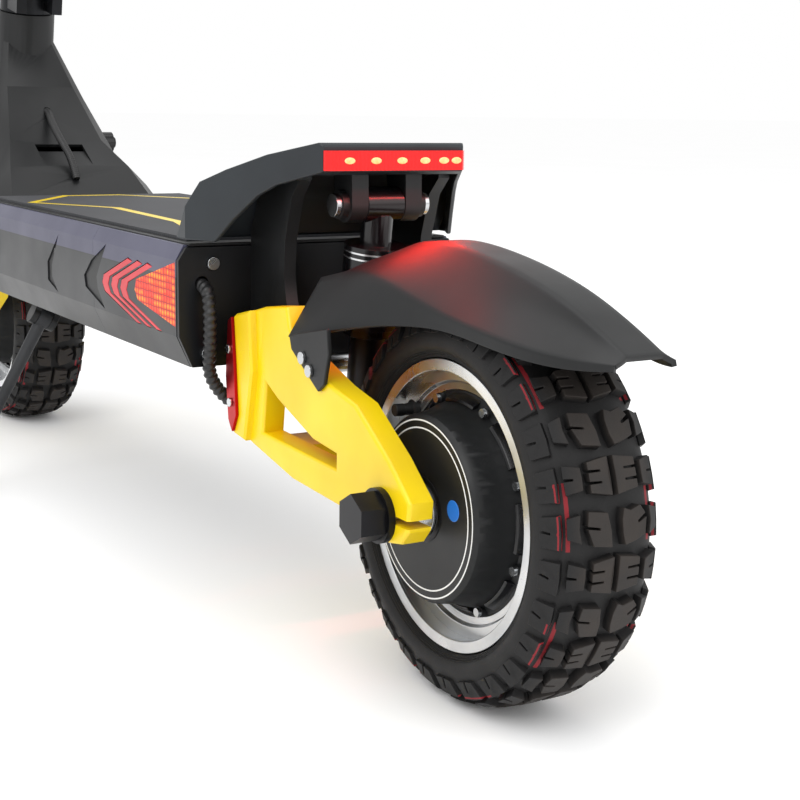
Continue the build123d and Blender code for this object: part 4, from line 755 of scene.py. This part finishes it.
deckTrim = {
    "face": 115.0,
    "arrowTips": (341, 361, 381),
    "stroke": 9,
    "arrowStand": 0.2,
    "arrowThick": 1.7,
    "shadeSheetSink": 1.2,
    "shadeSheetThick": 0.35,
    "crescent": [(370, 132), (406, 116), (424, 102), (421, 93), (376, 80), (392, 95), (394, 104), (386, 114)],
    "recess": [(487, 130), (519, 104), (519, 88), (492, 80), (507, 92), (507, 102)],
}
arrows = bmesh.new()
recessShadeSheets = bmesh.new()
for side in (1, -1):
    for tip in deckTrim["arrowTips"]:
        s = deckTrim["stroke"]
        outline = [
            (tip - 57, 125), (tip - 4, 107.4), (tip - 0.6, 101), (tip - 6.4, 94.6), (tip - 75, 78.6),
            (tip - 75.6 - s, 78.6), (tip - 10 - s, 94.6), (tip - 4.4 - s, 101), (tip - 8.6 - s, 107.4),
            (tip - 58 - s, 123.6),
        ]
        addPlate(arrows, outline, side, deckTrim["face"] + deckTrim["arrowStand"], deckTrim["arrowThick"])
    # painted shade: a thin black sheet sunk in each recess darkens it
    for outline in (deckTrim["crescent"], deckTrim["recess"]):
        addPlate(recessShadeSheets, outline, side, deckTrim["face"] - deckTrim["shadeSheetSink"], deckTrim["shadeSheetThick"])
addPiece("corner_arrows", arrows, "deck", "redInlay", (), 0.3)
addPiece("side_recess_painted_shade", recessShadeSheets, "deck", "blackAbs")


# Tail lamp: bright spots behind the lens

lampSpots = {
    "aheadMm": 119.0, "upMm": 205.5, "inMm": 0.2, "acrossMm": (37, 17, -3, -21, -36, -46),
    "halfDeep": 0.7, "halfWide": 4.2, "halfTall": 2.3,
}
spots = bmesh.new()
for across in lampSpots["acrossMm"]:
    x, z = rearPoint(lampSpots["aheadMm"], lampSpots["upMm"])
    size = (lampSpots["halfDeep"] * mm, lampSpots["halfWide"] * mm, lampSpots["halfTall"] * mm, 1)
    bmesh.ops.create_uvsphere(
        spots, u_segments=20, v_segments=10, radius=1.0,
        matrix=Matrix.Translation((x + lampSpots["inMm"] * mm, across * mm, z)) @ Matrix.Diagonal(size),
    )
addPiece("lamp_spots", spots, "deck", "litChip")


# Rear fender: a moulded roof over the wheel with two creases, and its legs on the arm

fender = {
    "wallMm": 3.0,
    "lipMm": 0.7,
    "lipDeg": 50,
    "legOuterMm": 81.5,
    "legThickMm": 2.95,
    # (along, left half of the roof as (across, up)) in mm from the axle
    "stations": [
        (96, [(14, 146), (30, 144), (52, 136), (81.5, 96)]),
        (62, [(14, 161), (32, 152), (52, 138), (62, 106)]),
        (0, [(14, 156), (30, 137), (45, 121), (46, 113)]),
        (-46, [(14, 148), (28, 133), (46, 117), (47, 110)]),
        (-84, [(14, 138), (20, 129), (43, 112), (43, 105)]),
        (-119, [(14, 124), (17, 119), (31, 109), (32, 103)]),
        (-143, [(13, 113), (17, 111), (21, 109.5), (22, 106)]),
    ],
    "wing": (119, [(58, 130), (82, 92)]),
    "leg": [(119, 93), (116, 84), (78, 62), (70, 68), (64, 88), (66, 104), (96, 98)],
    # sharpness of the lines along the roof, from the middle outward
    "creases": (0.8, 0.25, 0.7, 1.0),
}


def makeFender():
    bm = bmesh.new()
    crease = bm.edges.layers.float.new("crease_edge")
    rings = []
    for along, half in fender["stations"]:
        points = [(y, z) for y, z in reversed(half)] + [(-y, z) for y, z in half]
        ring = []
        for across, up in points:
            x, z = rearPoint(along, up)
            ring.append(bm.verts.new((x, across * mm, z)))
        rings.append(ring)
    for ahead, behind in zip(rings, rings[1:]):
        for index in range(len(ahead) - 1):
            bm.faces.new((ahead[index], ahead[index + 1], behind[index + 1], behind[index]))
    along, wing = fender["wing"]
    for side, (inner, outer) in ((1, (1, 0)), (-1, (-2, -1))):
        tips = []
        for across, up in wing:
            x, z = rearPoint(along, up)
            tips.append(bm.verts.new((x, side * across * mm, z)))
        corners = (rings[0][outer], tips[1], tips[0], rings[0][inner])
        bm.faces.new(corners if side > 0 else tuple(reversed(corners)))
    bmesh.ops.recalc_face_normals(bm, faces=bm.faces)
    topFace = max(bm.faces, key=lambda face: face.calc_center_median().z)
    if topFace.normal.z < 0:
        bmesh.ops.reverse_faces(bm, faces=bm.faces)
    for ahead, behind in zip(rings, rings[1:]):
        for index in range(len(ahead)):
            edge = bm.edges.get((ahead[index], behind[index]))
            edge[crease] = fender["creases"][int(abs(index - (len(ahead) - 1) / 2))]
    for edge in bm.edges:
        if edge.is_boundary:
            edge[crease] = 1.0
    piece = addPiece("rear_fender_roof", bm, "rear_arm", "blackAbs", ("rear_fender",), 0.0, 80, normals=False)
    smooth = piece.modifiers.new("round", "SUBSURF")
    smooth.levels = smooth.render_levels = 3
    wall = piece.modifiers.new("wall", "SOLIDIFY")
    wall.thickness = fender["wallMm"] * mm
    wall.offset = -1
    lip = piece.modifiers.new("lip", "BEVEL")
    lip.width = fender["lipMm"] * mm
    lip.segments = 2
    lip.limit_method = "ANGLE"
    lip.angle_limit = math.radians(fender["lipDeg"])
    legs = bmesh.new()
    for side in (1, -1):
        addPlate(legs, fender["leg"], side, fender["legOuterMm"], fender["legThickMm"])
    addPiece("rear_fender_legs", legs, "rear_arm", "blackAbs", (), 0.8)


makeFender()
print("fender")


# Motor lead: a ribbed sleeve from the deck's end plate to behind the arm's head

lead = {
    "holeX": -0.2645, "holeY": 0.097, "holeZ": 0.2435, "radiusMm": 5.0, "ribMm": 5.0, "ribDepthMm": 1.1,
    # offsets from the hole in mm
    "route": [
        (18, 0, 0), (-7.5, 0, 0), (-15.5, 1, -13), (-16, 1, -31), (-12.5, 0, -47), (-8, -1, -64),
        (-5, -12, -80), (-7, -28, -92), (-17, -42, -100),
    ],
    "bendStart": (-16, 1, -26),
    "bendEnd": (-7, -4, -70),
}


def offsetPoint(offset):
    return (
        lead["holeX"] + offset[0] * mm, lead["holeY"] + offset[1] * mm, lead["holeZ"] + offset[2] * mm
    )


def splinePath(name, points, resolution=12):
    # the line of a smooth NURBS spline through its control points
    data = bpy.data.curves.new(name, "CURVE")
    data.dimensions = "3D"
    spline = data.splines.new("NURBS")
    spline.points.add(len(points) - 1)
    for target, point in zip(spline.points, points):
        target.co = (*point, 1)
    spline.order_u = 3
    spline.use_endpoint_u = True
    spline.resolution_u = resolution
    holder = bpy.data.objects.new(name, data)
    bpy.context.collection.objects.link(holder)
    bpy.context.view_layer.update()
    line = bpy.data.meshes.new_from_object(holder)
    path = [vert.co.copy() for vert in line.vertices]
    bpy.data.objects.remove(holder)
    return path


def evenPath(path, step):
    # the same line with points a step apart
    lengths = [0.0]
    for a, b in zip(path, path[1:]):
        lengths.append(lengths[-1] + (b - a).length)
    count = max(2, round(lengths[-1] / step))
    found = []
    for index in range(count + 1):
        want = lengths[-1] * index / count
        at = max(i for i, length in enumerate(lengths) if length <= want + 1e-9)
        at = min(at, len(path) - 2)
        share = (want - lengths[at]) / max(lengths[at + 1] - lengths[at], 1e-9)
        found.append(path[at].lerp(path[at + 1], share))
    return found


sleeve = {"ringsPerRib": 8, "sides": 20}


def makeSleeve(path, radius, ribStep, ribDepth):
    # a tube swept along the path whose radius rises and falls with each turn of the wrap
    points = evenPath(path, ribStep / sleeve["ringsPerRib"])
    bm = bmesh.new()
    last = None
    across = Vector((0, 1, 0))
    for index, point in enumerate(points):
        ahead = points[min(index + 1, len(points) - 1)] - points[max(index - 1, 0)]
        ahead.normalize()
        across = (across - ahead * across.dot(ahead)).normalized()
        up = ahead.cross(across)
        ring = []
        for turn in range(sleeve["sides"]):
            angle = 2 * math.pi * turn / sleeve["sides"]
            phase = 2 * math.pi * (index / sleeve["ringsPerRib"]) - angle
            size = radius - ribDepth * (0.5 - 0.5 * math.cos(phase))
            ring.append(bm.verts.new(point + (across * math.cos(angle) + up * math.sin(angle)) * size))
        for edge in zip(ring, ring[1:] + ring[:1]):
            bm.edges.new(edge)
        if last:
            for turn in range(sleeve["sides"]):
                other = (turn + 1) % sleeve["sides"]
                bm.faces.new((last[turn], last[other], ring[other], ring[turn]))
        else:
            bm.faces.new(list(reversed(ring)))
        last = ring
    bm.faces.new(last)
    return bm, points


sleevePath = splinePath("lead_line", [offsetPoint(offset) for offset in lead["route"]])
sleeveMesh, sleevePoints = makeSleeve(
    sleevePath, lead["radiusMm"] * mm, lead["ribMm"] * mm, lead["ribDepthMm"] * mm
)


def finishSleeve(name, bm, finish, replaced):
    bmesh.ops.recalc_face_normals(bm, faces=bm.faces)
    mesh = bpy.data.meshes.new(name)
    bm.to_mesh(mesh)
    bm.free()
    mesh.materials.append(materials[finish])
    mesh.shade_smooth()
    piece = bpy.data.objects.new(name, mesh)
    bpy.context.collection.objects.link(piece)
    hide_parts(*replaced)
    return piece


motorLead = finishSleeve("motor_lead", sleeveMesh, "nylonSleeve", ("frame_conduit", "arm_conduit"))
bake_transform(motorLead)

# the neck's cable, from the deck's front edge up behind the head
neckLead = {
    "frontX": 0.2655, "radiusMm": 4.0, "ribMm": 2.2, "ribDepthMm": 0.3,
    "route": [(22, 0, 288), (34, 0, 308), (54, 6, 328), (82, 6, 346), (108, 0, 356), (134, 0, 358)],
}
neckPath = splinePath(
    "neck_line", [(neckLead["frontX"] + dx * mm, y * mm, z * mm) for dx, y, z in neckLead["route"]]
)
neckMesh, neckPoints = makeSleeve(
    neckPath, neckLead["radiusMm"] * mm, neckLead["ribMm"] * mm, neckLead["ribDepthMm"] * mm
)
neckCable = finishSleeve("neck_lead", neckMesh, "nylonSleeve", ("neck_cable",))
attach(neckCable, "deck")
print("leads")


# Shock: fine rings round the can

shock = {
    "top": (145, 175), "low": (166, 22), "canRadius": 21.5,
    "ringsAt": (31.5, 35.5, 58.0, 61.0), "ringSink": 0.4, "ringStand": 0.2, "ringWide": 1.2,
}


def makeShockTrim():
    topX, topZ = rearPoint(*shock["top"])
    lowX, lowZ = rearPoint(*shock["low"])
    along = Vector((lowX - topX, 0, lowZ - topZ)).normalized()
    turn = Vector((0, 0, 1)).rotation_difference(along).to_matrix().to_4x4()
    place = Matrix.Translation((topX, 0, topZ)) @ turn
    rings = bmesh.new()
    inner, outer = shock["canRadius"] - shock["ringSink"], shock["canRadius"] + shock["ringStand"]
    for low in shock["ringsAt"]:
        high = low + shock["ringWide"]
        section = [(inner, low), (outer, low), (outer, high), (inner, high)]
        made = [rings.verts.new((radius * mm, 0, depth * mm)) for radius, depth in section]
        edges = [rings.edges.new(pair) for pair in zip(made, made[1:] + made[:1])]
        bmesh.ops.spin(
            rings, geom=made + edges, axis=(0, 0, 1), cent=(0, 0, 0), steps=72, angle=2 * math.pi,
            use_merge=True,
        )
    bmesh.ops.transform(rings, matrix=place, verts=rings.verts)
    addPiece("shock_rings", rings, "rear_shock_upper", "machinedAluminium")


makeShockTrim()


# Floor and light

floorSettings = {"halfSize": 40.0, "toneScale": 2.0, "colour": "ffffff", "tone": "fcfcfc"}
floorMesh = bmesh.new()
bmesh.ops.create_grid(floorMesh, x_segments=1, y_segments=1, size=floorSettings["halfSize"])
floorData = bpy.data.meshes.new("floor")
floorMesh.to_mesh(floorData)
floorMesh.free()
floor = bpy.data.objects.new("floor", floorData)
bpy.context.collection.objects.link(floor)
floorMaterial, floorTree, floorShader, floorPlace = startMaterial("paleFloor")
floorNoise = addNode(floorTree, "TexNoise", {"Scale": floorSettings["toneScale"]}, {"Vector": floorPlace})
floorTone = mixColours(floorTree, floorNoise.outputs["Fac"], floorSettings["colour"], floorSettings["tone"])
floorTree.links.new(floorTone, floorShader.inputs["Base Color"])
floorShader.inputs["Roughness"].default_value = 1.0
floorShader.inputs["Specular IOR Level"].default_value = 0.0
floorData.materials.append(floorMaterial)

aimPoint = (-0.25, 0, 0.25)
lights = {
    "key": {"place": (-1.6, 1.9, 2.4), "size": 1.8, "watts": 38},
    "fill": {"place": (-2.4, -1.2, 1.6), "size": 2.2, "watts": 16},
    "top": {"place": (0.2, 0.3, 3.0), "size": 2.6, "watts": 30},
}
for name, light in lights.items():
    data = bpy.data.lights.new(name, "AREA")
    data.size = light["size"]
    data.energy = light["watts"]
    lamp = bpy.data.objects.new(name, data)
    aim = Vector(aimPoint) - Vector(light["place"])
    lamp.location = light["place"]
    lamp.rotation_euler = aim.to_track_quat("-Z", "Y").to_euler()
    bpy.context.collection.objects.link(lamp)

# the tail lamp's own light on the fender
lampGlow = {
    "aheadMm": 112, "upMm": 200, "wide": 0.09, "tall": 0.012, "watts": 0.16, "colour": "ff2010",
    "facing": (-0.6, 0, -1),
}
glow = bpy.data.lights.new("tailGlow", "AREA")
glow.shape = "RECTANGLE"
glow.size = lampGlow["wide"]
glow.size_y = lampGlow["tall"]
glow.energy = lampGlow["watts"]
glow.color = toLinear(lampGlow["colour"])[:3]
tailGlow = bpy.data.objects.new("tailGlow", glow)
glowX, glowZ = rearPoint(lampGlow["aheadMm"], lampGlow["upMm"])
tailGlow.location = (glowX, 0, glowZ)
tailGlow.rotation_euler = Vector(lampGlow["facing"]).to_track_quat("-Z", "Y").to_euler()
bpy.context.collection.objects.link(tailGlow)

world = bpy.data.worlds.new("studio")
world.use_nodes = True
world.node_tree.nodes["Background"].inputs["Color"].default_value = toLinear("ffffff")
world.node_tree.nodes["Background"].inputs["Strength"].default_value = 1.0
bpy.context.scene.world = world

print("finish")
